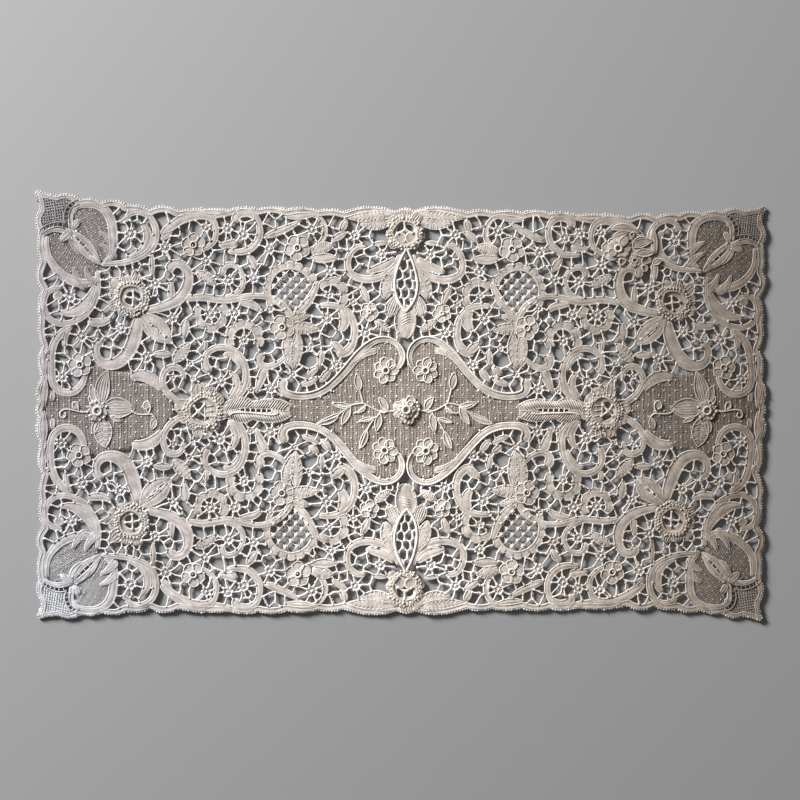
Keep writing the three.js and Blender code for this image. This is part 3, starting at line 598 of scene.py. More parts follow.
def rosette(thread, x, y, eye, rim, reach, lean, seed, folds=36, high=2.3, petals=(), squash=1.0):
    """A raised flower: petals lying flat, a frill of looped stitches on them and a smooth collar round an open eye."""
    g = np.random.default_rng(seed)
    for k, (angle, r1, width) in enumerate(petals):
        petal(thread, x, y, math.radians(angle), rim * 0.9, r1, width, False, 0.05 + 0.14 * (k % 3), rib=-0.12, base=0.75, tone=0.05, rise=0.3, groove_shade=-0.12, lines=(-0.5, -0.05, 0.42))
    n = folds * 5
    th = 2 * np.pi * np.arange(n) / n
    own = g.normal(0, 1, folds)[(np.arange(n) * folds // n + 0) % folds]
    own = np.convolve(np.concatenate([own[-2:], own, own[:2]]), np.ones(5) / 5, "valid")
    swing = folds * th + 1.2 * np.sin(3 * th + g.uniform(0, 6)) + 0.9 * np.sin(7 * th + g.uniform(0, 6))
    far = reach * (1 + 0.06 * own + 0.04 * np.cos(swing) + 0.04 * np.cos(3 * th + g.uniform(0, 6)))
    lean = np.array(lean, float)
    c = np.array(chart(x, y))
    gap = 1.9 * (1 + 0.3 * np.cos(2 * th + g.uniform(0, 6)) + 0.25 * np.cos(5 * th + g.uniform(0, 6)) + 0.2 * np.cos(9 * th + g.uniform(0, 6)))
    eye = eye * (1 + 0.07 * np.cos(4 * th + g.uniform(0, 6)) + 0.04 * np.cos(3 * th + g.uniform(0, 6)))
    rim = rim * (1 + 0.035 * np.cos(2 * th + g.uniform(0, 6)) + 0.03 * np.cos(5 * th + g.uniform(0, 6)))
    hole = eye * 0.84
    room = far - rim - 0.8 * gap
    # radius, z, lean, how much it folds, how far round the folds are set off, cord tone (below nought is painted shade)
    rows = [(hole, 0.30, -0.5, 0.0, 0, 0.1), (hole + 0.25, 0.82, -0.45, 0.0, 0, 0.8), (hole + 0.9, 0.98, -0.4, 0.0, 0, 0.7), (hole + 1.7, 0.93, -0.3, 0.05, 0, 0.15),
            (rim * 0.84, 1.0, 0.05, 0.1, 0, 0.1), (rim * 0.9, 1.06, 0.2, 0.1, 0, -0.3), (rim * 0.94, 0.86 * high, 0.3, 0.15, 0, 0.35), (rim + 0.3 * gap, high, 0.4, 0.3, 0, 0.8),
            (rim + 0.75 * gap, 0.84 * high, 0.38, 0.5, 0, 0.1), (rim + 0.8 * gap + 0.16 * room, 0.86 * high, 0.3, 1.0, 0, 0.25), (rim + 0.8 * gap + 0.38 * room, 0.78 * high, 0.22, 1.0, 0.5, 0.0),
            (rim + 0.8 * gap + 0.58 * room, 0.8 * high, 0.14, 1.0, 3.3, 0.25), (rim + 0.8 * gap + 0.8 * room, 0.7 * high, 0.06, 1.0, 3.6, 0.0), (far, 0.5 * high, 0.0, 0.6, 0, 0.4), (far - 0.3, 0.2, 0.0, 0.3, 0, 0.1)]
    k = len(rows)
    pts, along = np.zeros((n, k, 3)), np.zeros((n, k, 3))
    for j, (r, z, le, st, off, co) in enumerate(rows):
        fold = np.cos(swing + off + 0.5 * np.sin(4 * th + j)) * (0.75 + 0.4 * own)
        pts[:, j, 0] = c[0] + lean[0] * le + r * np.cos(th)
        pts[:, j, 1] = c[1] + lean[1] * le + r * squash * np.sin(th)
        pts[:, j, 2] = z + 0.3 * st * fold
        along[:, j, 0] = th * r * MM
        along[:, j, 1] = r * MM
        # the tone follows the folds: painted light on the crests, painted shade in the troughs
        along[:, j, 2] = co + 0.5 * st * fold
    thread.add(pts.reshape(-1, 3), loops(n, k, True), None, along.reshape(-1, 3))
    fringe(thread, x, y, reach - 0.2, 0, 351, folds + 4, 1.3, 0.62 * high, seed + 50)
    fringe(thread, x + 0.1 * lean[0], y - 0.1 * lean[1], reach - 2.7, 5, 356, folds - 2, 1.15, 0.84 * high, seed + 60)


def fringe(thread, x, y, r, a0, a1, count, size, z, seed):
    """A knobbly run of looped stitches."""
    g = np.random.default_rng(seed)
    t = np.radians(np.linspace(a0, a1, count) + g.normal(0, 2.0, count))
    rr = r + g.normal(0, 0.65, count)
    c = np.array(chart(x, y))
    knots(thread, c + np.stack([rr * np.cos(t), rr * np.sin(t)], 1), np.clip(size + g.normal(0, 0.24, count), 0.8, 1.9), z + g.normal(0, 0.12, count), tall=0.85, cord=0.7)


# ---------------------------------------------------------------- the quarter's cloth
rng = np.random.default_rng(11)
toile, small = Thread(), Thread()
for name, (points, table) in SCROLLS.items():
    scroll(toile, points, table, rib=0.16 if max(table) > 6.8 else 0.0)
m_line = curve([chart(*p) for p in SCROLLS["medallion_scroll"][0]], 2.15)
m_half = rounded(m_line, widths(len(m_line), SCROLLS["medallion_scroll"][1]))
tube(toile, m_line + sideways(m_line) * (m_half - 0.6)[:, None], 0.95 * np.clip(m_half / 2.5, 0.5, 1), 1.08)
for row in LEAVES:
    leaf(toile, *row)
for x0, y0, x1, y1, w, t0, t1, rungs in SPLIT_LEAVES:
    split_leaf(toile, x0, y0, x1, y1, w, t0, t1, rungs)
pod_leaves = Thread()
for row in POD_LEAVES:
    scroll(pod_leaves, *row, rib=0.1, keep=False, lift=0.06)
for row in KNOBS:
    knob(toile, *row)
for row in FANS:
    fan(small, *row)
for row in FLOWERS:
    flower(small, *row)
turns = [rng.uniform(0, 6.28) for _ in WHEELS]
for (x, y, r, legs), turn in zip(WHEELS, turns):
    wheel(small, x, y, r, legs, turn + math.pi / max(legs, 1))

# the basket's lattice, with a star at each crossing
BASKET = (291, 290, 20.5)
bu, bv = chart(*BASKET[:2])
_b = np.radians(np.linspace(-42, 222, 24))
BASKET_POLY = np.vstack([np.stack([bu + BASKET[2] * np.cos(_b), bv + BASKET[2] * np.sin(_b)], 1), [chart(292, 314.5)]])


def inside(poly, u, v):
    got = np.zeros(np.shape(u), bool)
    a, b = poly, np.roll(poly, -1, 0)
    for (x0, y0), (x1, y1) in zip(a, b):
        if y0 == y1:
            continue
        cross = (y0 > v) != (y1 > v)
        got ^= cross & (u < (x1 - x0) * (v - y0) / (y1 - y0) + x0)
    return got


pitch = 8.1
for k in range(-3, 4):
    for s in (-1, 1):
        d = np.array([1, s]) / math.sqrt(2)
        n = np.array([-d[1], d[0]])
        c = np.array([bu, bv - 1.5]) + n * k * pitch
        run = c + d * np.arange(-30, 30, 0.5)[:, None]
        run = run[inside(BASKET_POLY, run[:, 0], run[:, 1])]
        if len(run) > 8:
            tube(small, even(run, 4), 0.48, 0.6, sides=5, cord=0.8)
diag, plus = np.array([[1, 1], [-1, -1], [-1, 1], [1, -1]]) / math.sqrt(2), np.array([[1, 0], [-1, 0], [0, 1], [0, -1]])
for i in range(-4, 5):
    for j in range(-4, 5):
        c = np.array([bu, bv - 1.5]) + pitch / math.sqrt(2) * np.array([i - j, i + j])
        if inside(BASKET_POLY, c[0], c[1]):
            knots(small, [c], 1.6, 0.8, tall=0.8)
            knots(small, c + 1.75 * diag + rng.normal(0, 0.18, (4, 2)), 0.95, 0.7, tall=0.8)
            knots(small, c + 1.95 * plus + rng.normal(0, 0.18, (4, 2)), 0.8, 0.72, tall=0.8)
OUTLINES.append(BASKET_POLY)

# ---------------------------------------------------------------- the outline and the edge
def arcs(rows, steps=8):
    made = []
    for (o0, u0, b0), (o1, u1, _) in zip(rows[:-1], rows[1:]):
        a, b = np.array([-o0, u0]), np.array([-o1, u1])
        d = b - a
        n = np.array([-d[1], d[0]]) / np.linalg.norm(d)
        f = np.linspace(0, 1, steps, endpoint=False)[:, None]
        made.append(a + d * f + n * b0 * 4 * f * (1 - f))
    return np.vstack(made + [[[-rows[-1][0], rows[-1][1]]]])


long_line = arcs(LONG_SIDE)
end_rows = [(o, u, -b) for o, u, b in END_SIDE]
end_line = arcs(end_rows)
top_mid = np.array([[-4.5, LONG_SIDE[-1][1] + 2.3], [0.0, LONG_SIDE[-1][1] + 3.0]])
end_mid = np.array([[-(END_SIDE[-1][0] + 1.9), 3.8], [-(END_SIDE[-1][0] + 2.5), 0.0]])
long_full, end_full = np.vstack([long_line, top_mid]), np.vstack([end_line, end_mid])
edge = Thread()
EDGE_HALF = 2.7
for line, way in ((long_full, -1), (end_full, 1)):
    line = even(line, 1.5)
    side = sideways(line)
    run = np.concatenate([[0], np.cumsum(np.linalg.norm(np.diff(line, axis=0), axis=1))])
    half = np.interp(run, [0, 4, 33, 42], [0.7, 1.9, 2.1, EDGE_HALF])
    inner = line + side * way * half[:, None]
    band(edge, inner, half, rise=0.35, top=0.8, crown=0.15)
    tooth = even(line, 2.7)[1:]
    s2 = sideways(tooth)
    jitter = rng.normal(0, 0.25, len(tooth))
    knots(edge, tooth - s2 * way * (0.65 + jitter)[:, None], 1.05 + rng.normal(0, 0.16, len(tooth)), 0.6, tall=0.75)

# ---------------------------------------------------------------- panels of net, pods and the corner's fan
def panel_edge(table, steps=6):
    p = curve([(-o, h) for o, h in table], 1.6)
    return p


med_q = panel_edge(MEDALLION)
end_q = panel_edge(END_PANEL)
med_poly_q = np.vstack([med_q, [[0, -8], [-116, -8]]])
end_poly_q = np.vstack([end_q, [[-232, -8], [-359, -8]]])
OUTLINES += [med_poly_q, end_poly_q]


def pod_net(k):
    return curve([chart(*p) for p in POD_NETS[k] + POD_NETS[k][:1]], 2.0)[:-1]


for k in (0, 1):
    OUTLINES.append(pod_net(k))
FAN_POLY = np.array([chart(*p) for p in [(37.5, 191.5), (47, 194.5), (57, 197), (66, 197.5), (78, 200.5), (70, 205), (66.3, 209.5), (64.8, 215), (65, 220), (66.5, 224.5), (60, 222.6), (53, 223), (46, 225.8), (39.5, 232), (38, 222), (40.5, 213), (41.5, 208), (38, 200)]])
OUTLINES.append(np.array([chart(*p) for p in [(37, 191), (60, 198), (80, 203), (73, 212), (73, 232), (60, 232), (40, 235)]]))
ALMOND = np.array([chart(*p) for p in [(405.5, 249), (399, 262), (395.5, 276), (395, 290), (398, 302), (402, 308.5), (406, 311), (418, 300), (418, 260)]])
OUTLINES.append(ALMOND)
ROSETTES = {"corner": (130.5, 298, 21.0), "end": (203, 411, 24.0), "side": (404.5, 234, 22.0)}
for x, y, r in ROSETTES.values():
    OUTLINES.append(circle(x, y, r, 24))
OUTLINES.append(np.array([chart(*p) for p in [(222, 403), (234, 400), (243, 397), (252, 399.5), (272, 399), (283, 397), (290, 400), (290, 420), (222, 420)]]))
OUTLINES.append(np.array([chart(*p) for p in [(395, 310), (395, 322), (400, 334), (412, 334), (412, 310)]]))

# ---------------------------------------------------------------- what is free for the ground
RES = 0.5
U0, V0, U1, V1 = -374.0, -4.0, 10.0, 224.0
GU, GV = np.meshgrid(np.arange(U0, U1, RES), np.arange(V0, V1, RES))


def fill(mask, poly, value):
    lo, hi = poly.min(0) - 1, poly.max(0) + 1
    i0, i1 = max(0, int((lo[0] - U0) / RES)), min(mask.shape[1], int((hi[0] - U0) / RES) + 2)
    j0, j1 = max(0, int((lo[1] - V0) / RES)), min(mask.shape[0], int((hi[1] - V0) / RES) + 2)
    if i1 <= i0 or j1 <= j0:
        return
    part = inside(poly, GU[j0:j1, i0:i1], GV[j0:j1, i0:i1])
    mask[j0:j1, i0:i1][part] = value


whole = np.vstack([end_full[::-1], long_full, [[12, 200], [12, -6], [end_full[-1][0], -6]]])
free = np.zeros(GU.shape, bool)
fill(free, whole, True)
for poly in OUTLINES:
    fill(free, poly, False)


def is_free(p):
    i, j = np.floor((p[..., 0] - U0) / RES).astype(int), np.floor((p[..., 1] - V0) / RES).astype(int)
    ok = (i >= 0) & (j >= 0) & (i < free.shape[1]) & (j < free.shape[0])
    return ok & free[np.clip(j, 0, free.shape[0] - 1), np.clip(i, 0, free.shape[1] - 1)]


def clearances():
    """How far each free place is from worked cloth, in chart units."""
    d, m, turn = np.zeros(free.shape), free.copy(), 0
    while m.any() and turn < 30:
        d[m] += RES
        n = m.copy()
        n[1:] &= m[:-1]; n[:-1] &= m[1:]; n[:, 1:] &= m[:, :-1]; n[:, :-1] &= m[:, 1:]
        if turn % 2:
            n[1:, 1:] &= m[:-1, :-1]; n[:-1, :-1] &= m[1:, 1:]; n[1:, :-1] &= m[:-1, 1:]; n[:-1, 1:] &= m[1:, :-1]
        m, turn = n, turn + 1
    return d


clear = clearances()


def clip_cell(poly, n, c):
    """The part of a convex cell where n.p <= c."""
    d = poly @ n - c
    if (d <= 0).all():
        return poly, None
    made = []
    m = len(poly)
    for k in range(m):
        a, b, da, db = poly[k], poly[(k + 1) % m], d[k], d[(k + 1) % m]
        if da <= 0:
            made.append(a)
        if (da < 0 < db) or (db < 0 < da):
            made.append(a + (b - a) * (da / (da - db)))
    return (np.array(made) if len(made) > 2 else np.zeros((0, 2))), True


def ground(thread, seed):
    """Bars between the gaps: the borders of the cells round them, cut off where worked cloth begins."""
    r = np.random.default_rng(seed)
    seeds, size, owner = [], [], []
    for k, (x, y, rad, legs) in enumerate(WHEELS):
        seeds.append(np.array(chart(x, y))); size.append(rad + 0.7); owner.append(-1 - k)
    for k, (x, y, hw, hh) in enumerate(GAPS):
        # a long gap is several cells in a row with nothing worked between them
        far, near = max(hw, hh), min(hw, hh)
        n = 1 if far < 1.3 * near else max(2, int(round(far / near)))
        c = np.array(chart(x, y)) + r.normal(0, 0.3, 2)
        for o in np.linspace(near - far, far - near, n) if n > 1 else [0.0]:
            q = c + (np.array([o, 0.0]) if hw > hh else np.array([0.0, o]))
            if not is_free(q):
                continue
            seeds.append(q)
            size.append(near if n > 1 else (hw + hh) / 2)
            owner.append(k)
    # the rest of the room is filled with the largest gaps that fit, one after another
    jj, ii = np.nonzero(free & (clear > 1.2))
    some = (jj % 2 == 0) & (ii % 2 == 0)
    jj, ii = jj[some], ii[some]
    room = np.stack([U0 + ii * RES, V0 + jj * RES], 1)
    wide = clear[jj, ii]
    left = np.full(len(room), 99.0)
    for q, z in zip(seeds, size):
        left = np.minimum(left, np.hypot(room[:, 0] - q[0], room[:, 1] - q[1]) - z)
    while True:
        score = np.minimum(left - 1.0, 0.9 * wide + 0.5)
        k = int(np.argmax(score))
        if score[k] < 2.25:
            break
        seeds.append(room[k]); size.append(min(r.uniform(3.4, 5.0), score[k])); owner.append(1000 + len(seeds))
        left = np.minimum(left, np.hypot(room[:, 0] - room[k, 0], room[:, 1] - room[k, 1]) - size[-1])
    s, w, own = np.array(seeds), np.array(size) ** 2, np.array(owner)
    # across the middle lines the cells mirror
    keep = (s[:, 0] < -1.5) & (s[:, 1] > 1.5)
    s, w, own = s[keep], w[keep], own[keep]
    for axis, flip in ((0, [-1, 1]), (1, [1, -1])):
        close = np.nonzero(np.abs(s[:, axis]) < 16)[0]
        s = np.vstack([s, s[close] * flip])
        w = np.concatenate([w, w[close]])
        own = np.concatenate([own, np.where(own[close] < 0, own[close] - 1000, own[close] + 100000)])
    bars = {}
    for i in range(len(s)):
        if own[i] < 0:
            continue
        d2 = ((s - s[i]) ** 2).sum(1) - w
        near_i = np.argsort(d2)
        near_i = near_i[near_i != i][:26]
        poly = s[i] + 40.0 * np.array([[-1, -1], [1, -1], [1, 1], [-1, 1]])
        for j in near_i:
            n = 2 * (s[j] - s[i])
            c = (s[j] @ s[j] - s[i] @ s[i]) + w[i] - w[j]
            poly, _ = clip_cell(poly, n, c)
            if not len(poly):
                break
        if not len(poly):
            continue
        for j in near_i:
            if own[j] < 0 or own[j] == own[i]:
                continue
            n = 2 * (s[j] - s[i])
            c = (s[j] @ s[j] - s[i] @ s[i]) + w[i] - w[j]
            on = np.abs(poly @ n - c) < 1e-6 * max(1.0, abs(c)) + 1e-5
            if on.sum() == 2:
                a, b = poly[on]
                bars[(min(i, j), max(i, j))] = (a, b)
    hubs = np.array([chart(x, y) for x, y, _, _ in WHEELS])
    hub_r = np.array([rad for _, _, rad, _ in WHEELS])
    lines = []
    for (i, j), (a, b) in bars.items():
        length = np.linalg.norm(b - a)
        if length < 0.5 or min(a[0], b[0]) > 0.3 or max(a[1], b[1]) < -0.3:
            continue
        m = max(3, int(length / 0.3))
        p = a + (b - a) * np.linspace(0, 1, m)[:, None]
        f = is_free(p) & (p[:, 0] <= 0.05) & (p[:, 1] >= -0.05) & ~((np.abs(p[:, 0]) < 0.8) & (p[:, 1] < 78))
        if not f.any():
            continue
        # stretches in the open
        e = np.diff(np.concatenate([[0], f.astype(int), [0]]))
        for lo, hi in zip(np.nonzero(e == 1)[0], np.nonzero(e == -1)[0]):
            t0, t1 = lo / (m - 1), (hi - 1) / (m - 1)
            into = 0.9 / length
            cut = (lo > 0, hi < m)
            q = [a + (b - a) * (t0 - (into if cut[0] else 0)), a + (b - a) * (t1 + (into if cut[1] else 0))]
            for end in (0, 1):
                # a bar that reaches a wheel goes on to its ring
                d = np.linalg.norm(hubs - q[end], axis=1)
                k = int(np.argmin(d - hub_r))
                if not cut[end] and d[k] < hub_r[k] + 3.2:
                    q[end] = hubs[k] + (q[end] - hubs[k]) / max(d[k], 1e-6) * hub_r[k] * 0.72
            if np.linalg.norm(q[1] - q[0]) > 1.0:
                lines.append(q)
    # every wheel has its legs, out to the next cloth or bar
    for (x, y, rad, legs), turn in zip(WHEELS, turns):
        c = np.array(chart(x, y))
        n = 8 if rad > 5.3 else 7 if rad > 4.5 else max(4, legs)
        turn = turn + math.pi / max(legs, 1)
        a0, a1 = np.array([q[0] for q in lines]), np.array([q[1] for q in lines])
        has = [math.atan2(*(q - c)[::-1]) for line in lines for q in line if np.linalg.norm(q - c) < rad]
        for k in range(n):
            a = turn + 2 * math.pi * k / n
            if any(abs((a - h + math.pi) % (2 * math.pi) - math.pi) < 0.5 for h in has):
                continue
            d = np.array([math.cos(a), math.sin(a)])
            for far in np.arange(rad * 0.9, rad + 12, 0.35):
                p = c + d * far
                f = np.clip(((p - a0) * (a1 - a0)).sum(1) / np.maximum(((a1 - a0) ** 2).sum(1), 1e-9), 0, 1)
                if not is_free(p) or (far > rad + 1 and np.linalg.norm(a0 + (a1 - a0) * f[:, None] - p, axis=1).min() < 0.6):
                    if far > rad + 0.8:
                        lines.append([c + d * rad * 0.8, c + d * (far + 0.5)])
                        has.append(a)
                    break
    for q0, q1 in lines:
        d = q1 - q0
        length = np.linalg.norm(d)
        nrm = np.array([-d[1], d[0]]) / length
        bow = r.normal(0, 0.05) * min(length, 10)
        k = 5 if length > 3.6 else 3
        t = np.array([0, 0.2, 0.5, 0.8, 1]) if k == 5 else np.linspace(0, 1, 3)
        line = q0 + d * t[:, None] + nrm * (bow * 4 * t * (1 - t))[:, None]
        mid = np.clip(0.82 + r.normal(0, 0.1), 0.6, 1.05)
        rad = mid * (1 + 0.85 * np.abs(2 * t - 1) ** 4)
        tube(thread, line, rad, 0.58, sides=6)
        if length > 3.6 and r.random() < 0.6:
            for _ in range(1 if length < 8 else 2):
                f = r.uniform(0.3, 0.7)
                sgn = 1 if r.random() < 0.5 else -1
                knots(thread, [q0 + d * f + nrm * sgn * 0.9], 0.68, 0.62)
    return len(lines), len(s)


# ---------------------------------------------------------------- nets
def net(thread, poly, pu, pv, r, z, wave=0.16, weave=0.07, flat=1.0, turn=0.0, cross=0.85, vary=0.0):
    """Crossing threads inside an outline: pu and pv are the spacings, r the threads' half width, in chart units."""
    ca, sa = math.cos(turn), math.sin(turn)
    spin = np.array([[ca, -sa], [sa, ca]])
    poly = poly @ spin
    lo, hi = poly.min(0), poly.max(0)
    us, vs = np.arange(lo[0] + 0.3 * pu, hi[0], pu), np.arange(lo[1] + 0.3 * pv, hi[1], pv)
    u, v = np.meshgrid(us, vs)
    ok = inside(poly, u, v)
    nj, ni = u.shape
    ii, jj = np.meshgrid(np.arange(ni), np.arange(nj))
    odd = np.where((ii + jj) % 2 == 0, 1, -1)
    for way in (0, 1):
        du = wave * np.where(jj % 2 == 0, 1, -1) if way == 0 else 0 * u
        dv = wave * np.where(ii % 2 == 0, 1, -1) if way == 1 else 0 * v
        zz = z + weave * odd * (1 if way == 0 else -1)
        across = np.array([1.0, 0.0]) if way == 0 else np.array([0.0, 1.0])
        uneven = 1 + vary * np.clip(np.random.default_rng(7 + way).normal(0, 0.6, ni if way == 0 else nj), -1, 1)
        rr = (r if way == 0 else r * cross) * (uneven[None, :] if way == 0 else uneven[:, None])
        sect = [(-1, 0), (0, 1), (1, 0), (0, -1)]
        p = np.zeros((nj, ni, 4, 3))
        for k, (c, h) in enumerate(sect):
            p[..., k, 0] = u + du + across[0] * c * rr
            p[..., k, 1] = v + dv + across[1] * c * rr
            p[..., k, 2] = zz + h * rr * MM * flat
        seg = (ok[:-1] & ok[1:]) if way == 0 else (ok[:, :-1] & ok[:, 1:])
        j, i = np.nonzero(seg)
        a = (j * ni + i) * 4
        b = ((j + 1) * ni + i) * 4 if way == 0 else (j * ni + i + 1) * 4
        quads = []
        for k in range(4):
            m = (k + 1) % 4
            q = np.stack([a + k, a + m, b + m, b + k], 1)
            quads.append(q if way == 0 else q[:, ::-1])
        start = np.zeros(ok.shape, bool)
        stop = np.zeros(ok.shape, bool)
        if way == 0:
            has_next = np.zeros(ok.shape, bool); has_next[:-1] = seg
            has_prev = np.zeros(ok.shape, bool); has_prev[1:] = seg
        else:
            has_next = np.zeros(ok.shape, bool); has_next[:, :-1] = seg
            has_prev = np.zeros(ok.shape, bool); has_prev[:, 1:] = seg
        for here, flip in ((has_next & ~has_prev, way == 0), (has_prev & ~has_next, way == 1)):
            j, i = np.nonzero(here)
            a = (j * ni + i) * 4
            q = np.stack([a, a + 1, a + 2, a + 3], 1)
            quads.append(q[:, ::-1] if flip else q)
        quads = np.concatenate(quads)
        used = np.unique(quads)
        renum = np.full(nj * ni * 4, -1)
        renum[used] = np.arange(len(used))
        along = np.full((len(used), 3), 0.5)
        flat_p = p.reshape(-1, 3)[used]
        along[:, 0] = (flat_p[:, 1] if way == 0 else flat_p[:, 0]) * MM
        flat_p[:, :2] = flat_p[:, :2] @ spin.T
        thread.add(flat_p, renum[quads], None, along)


def dots(poly, pu, pv, seed):
    r = np.random.default_rng(seed)
    lo, hi = poly.min(0), poly.max(0)
    made = []
    for j, v in enumerate(np.arange(lo[1] + pv / 2, hi[1], pv)):
        for u in np.arange(lo[0] + (pu / 2 if j % 2 else 0.0), hi[0], pu):
            made.append((u + r.normal(0, 0.35), v + r.normal(0, 0.35)))
    made = np.array(made)
    return made[inside(poly, made[:, 0], made[:, 1])]


# ---------------------------------------------------------------- putting the quarters together
QUARTERS = [(1, 1), (-1, 1), (1, -1), (-1, -1)]  # mirrored in u, in v; the first is the charted one
all_toile, all_small, all_edge, all_pleaf, thin_pleaf, bars = Thread(), Thread(), Thread(), Thread(), Thread(), []
for k, (mx, my) in enumerate(QUARTERS):
    all_toile.take(toile, mx, my)
    all_small.take(small, mx, my)
    all_edge.take(edge, mx, my)
    (all_pleaf if k else thin_pleaf).take(pod_leaves, mx, my)
    g = Thread()
    n_bars, n_cells = ground(g, 21 + k)
    whole_g = Thread()
    whole_g.take(g, mx, my)
    bars.append(whole_g)

med_poly = np.vstack([med_q, (med_q * [-1, 1])[::-1], med_q * [-1, -1], (med_q * [1, -1])[::-1]])
end_poly = np.vstack([end_q, (end_q * [1, -1])[::-1]])
net_mid, net_left, net_right, net_pods, pod_dots = Thread(), Thread(), Thread(), {}, []
net(net_mid, med_poly, 1.5, 2.0, 0.46, 0.5, cross=0.6, vary=0.5)
net(net_left, end_poly, 1.5, 2.0, 0.46, 0.5, cross=0.6, vary=0.5)
net(net_right, end_poly * [-1, 1], 1.5, 2.0, 0.46, 0.5, cross=0.6, vary=0.5)
for mx, my in QUARTERS:
    for k, letter in enumerate("ab"):
        at = ("front" if my < 0 else "back") + ("_left_" if mx > 0 else "_right_") + letter
        net_pods[at] = Thread()
        pod_dots.append(dots(pod_net(k) * [mx, my], 7.6, 4.6, 70 + k + 2 * mx + 5 * my))
        net(net_pods[at], pod_net(k) * [mx, my], 1.5, 2.3, 0.42, 0.5, turn=(0.5, 1.0)[k] * mx * my, cross=0.75, vary=0.45)
sprigs = Thread()
knots(sprigs, np.vstack(pod_dots), 0.8, 0.66, tall=0.5, cord=0.35)
knots(sprigs, dots(med_poly, 11.2, 5.3, 5), 1.0, 0.68, tall=0.5, cord=0.55)
knots(sprigs, dots(end_poly, 11.2, 5.3, 6), 1.0, 0.68, tall=0.5, cord=0.55)
knots(sprigs, dots(end_poly * [-1, 1], 11.2, 5.3, 7), 1.0, 0.68, tall=0.5, cord=0.55)

# ---------------------------------------------------------------- the corner's fan of pinholed cloth
fan_q = Thread()
net(fan_q, FAN_POLY, 2.55, 2.7, 0.98, 0.6, wave=0.3, weave=0.05, flat=0.4, turn=0.12, cross=0.93, vary=0.3)
for holes in ([(79, 202.5), (75, 204.2), (71, 206.6), (68.4, 210.5), (67, 215), (67, 219.6), (68.5, 224)], [(41, 232), (44.5, 229.2), (48, 227.2), (52, 225.8), (56.3, 225), (61, 225.2), (66, 226.8)]):
    line = np.array([chart(*p) for p in holes])
    side = sideways(line)
    for off in (-2.4, 2.4):
        tube(fan_q, curve(line + side * off), 0.85, 0.8)
    for k in range(len(line) - 1):
        c, d = (line[k] + line[k + 1]) / 2, (side[k] + side[k + 1]) / 2
        tube(fan_q, np.stack([c - d * 2.5, c, c + d * 2.5]), [0.95, 0.65, 0.95], 0.65, sides=5)
corner_cloth, stem_cloth = Thread(), Thread()
for mx, my in QUARTERS:
    corner_cloth.take(fan_q, mx, my)

# ---------------------------------------------------------------- the feathered stem from each end flower to the medallion
feather = Thread()
F = np.array([(222, 405, 411.2), (226, 403, 411.2), (231, 400.2, 411.2), (236, 398, 410.8), (240, 397, 409.3), (245, 396.8, 408.9), (248.5, 398.6, 408.9), (251.5, 401.4, 408.9), (254, 401.2, 408.9), (259, 399.4, 408.9), (266, 398.4, 408.9), (271, 398.2, 409.2), (274, 398.4, 410.8), (280, 399.2, 411.2), (286, 401.4, 411.2), (291, 405.5, 411.2)])
fx = np.linspace(222, 291, 48)
f_up, f_low = (np.interp(fx, F[:, 0], np.convolve(np.pad(F[:, k], 1, mode="edge"), [0.2, 0.6, 0.2], "valid")) for k in (1, 2))
f_line = np.stack([fx - CHART_X, CHART_Y - (f_up + f_low) / 2], 1)
band(feather, f_line, (f_low - f_up) / 2, keep=False, crown=0.06, tone=-0.12)
for k in range(24):
    x0 = 223.5 + 2.55 * k
    at = lambda x, t: chart(x, np.interp(x, fx, f_up) * t + np.interp(x, fx, f_low) * (1 - t))
    tube(feather, np.stack([at(x0, 0.14), at(x0 + 3, 0.5), at(x0 + 6, 0.86)]), [0.4, 0.58, 0.4], 1.06, sides=5, cord=0.95)
slit = Thread()
for x0 in (239.5, 244.5, 249.8, 255.2, 260.6, 266, 271.2):
    tube(slit, np.stack([chart(x0, 408), chart(x0 + 0.3, 410.5), chart(x0, 413)]), [1.0, 0.75, 1.0], 0.6, sides=6)
tube(slit, curve([chart(*q) for q in [(229, 416), (233, 413.8), (241, 413), (253, 413.2), (264, 413.8), (273, 414.4), (278, 413)]]), 0.95, 1.15)
for mx, my in QUARTERS:
    stem_cloth.take(feather, mx, my)
for mx in (1, -1):
    stem_cloth.take(slit, mx, 1)

# ---------------------------------------------------------------- the almond under each long side's flower
almond = Thread()
AL = [(406, 248.5), (400.5, 260), (396.5, 272), (394.8, 284), (396.5, 296), (400.5, 305), (406, 311.5)]
al_left = curve([chart(*p) for p in AL], 1.8)
al_line = np.vstack([al_left, (al_left * [-1, 1])[::-1][1:-1]])
tube(almond, al_line, 1.35, 0.95, closed=True)
tube(almond, np.vstack([al_left * [1.26, 1] + [0, 0], (al_left * [-1.26, 1])[::-1][1:-1]]), 0.8, 0.7, closed=True)
g = np.random.default_rng(3)
cells = []
for row in range(-1, 8):
    for col in range(-3, 4):
        cells.append((col * 8.0 + (4.0 if row % 2 else 0) + 0.9 * row + g.normal(0, 0.6) - 3.0, 97 + 9.6 * row + g.normal(0, 0.9)))
cells = np.array(cells)
STRETCH = np.array([1.0, 1.45])
cs = cells / STRETCH
seen = set()
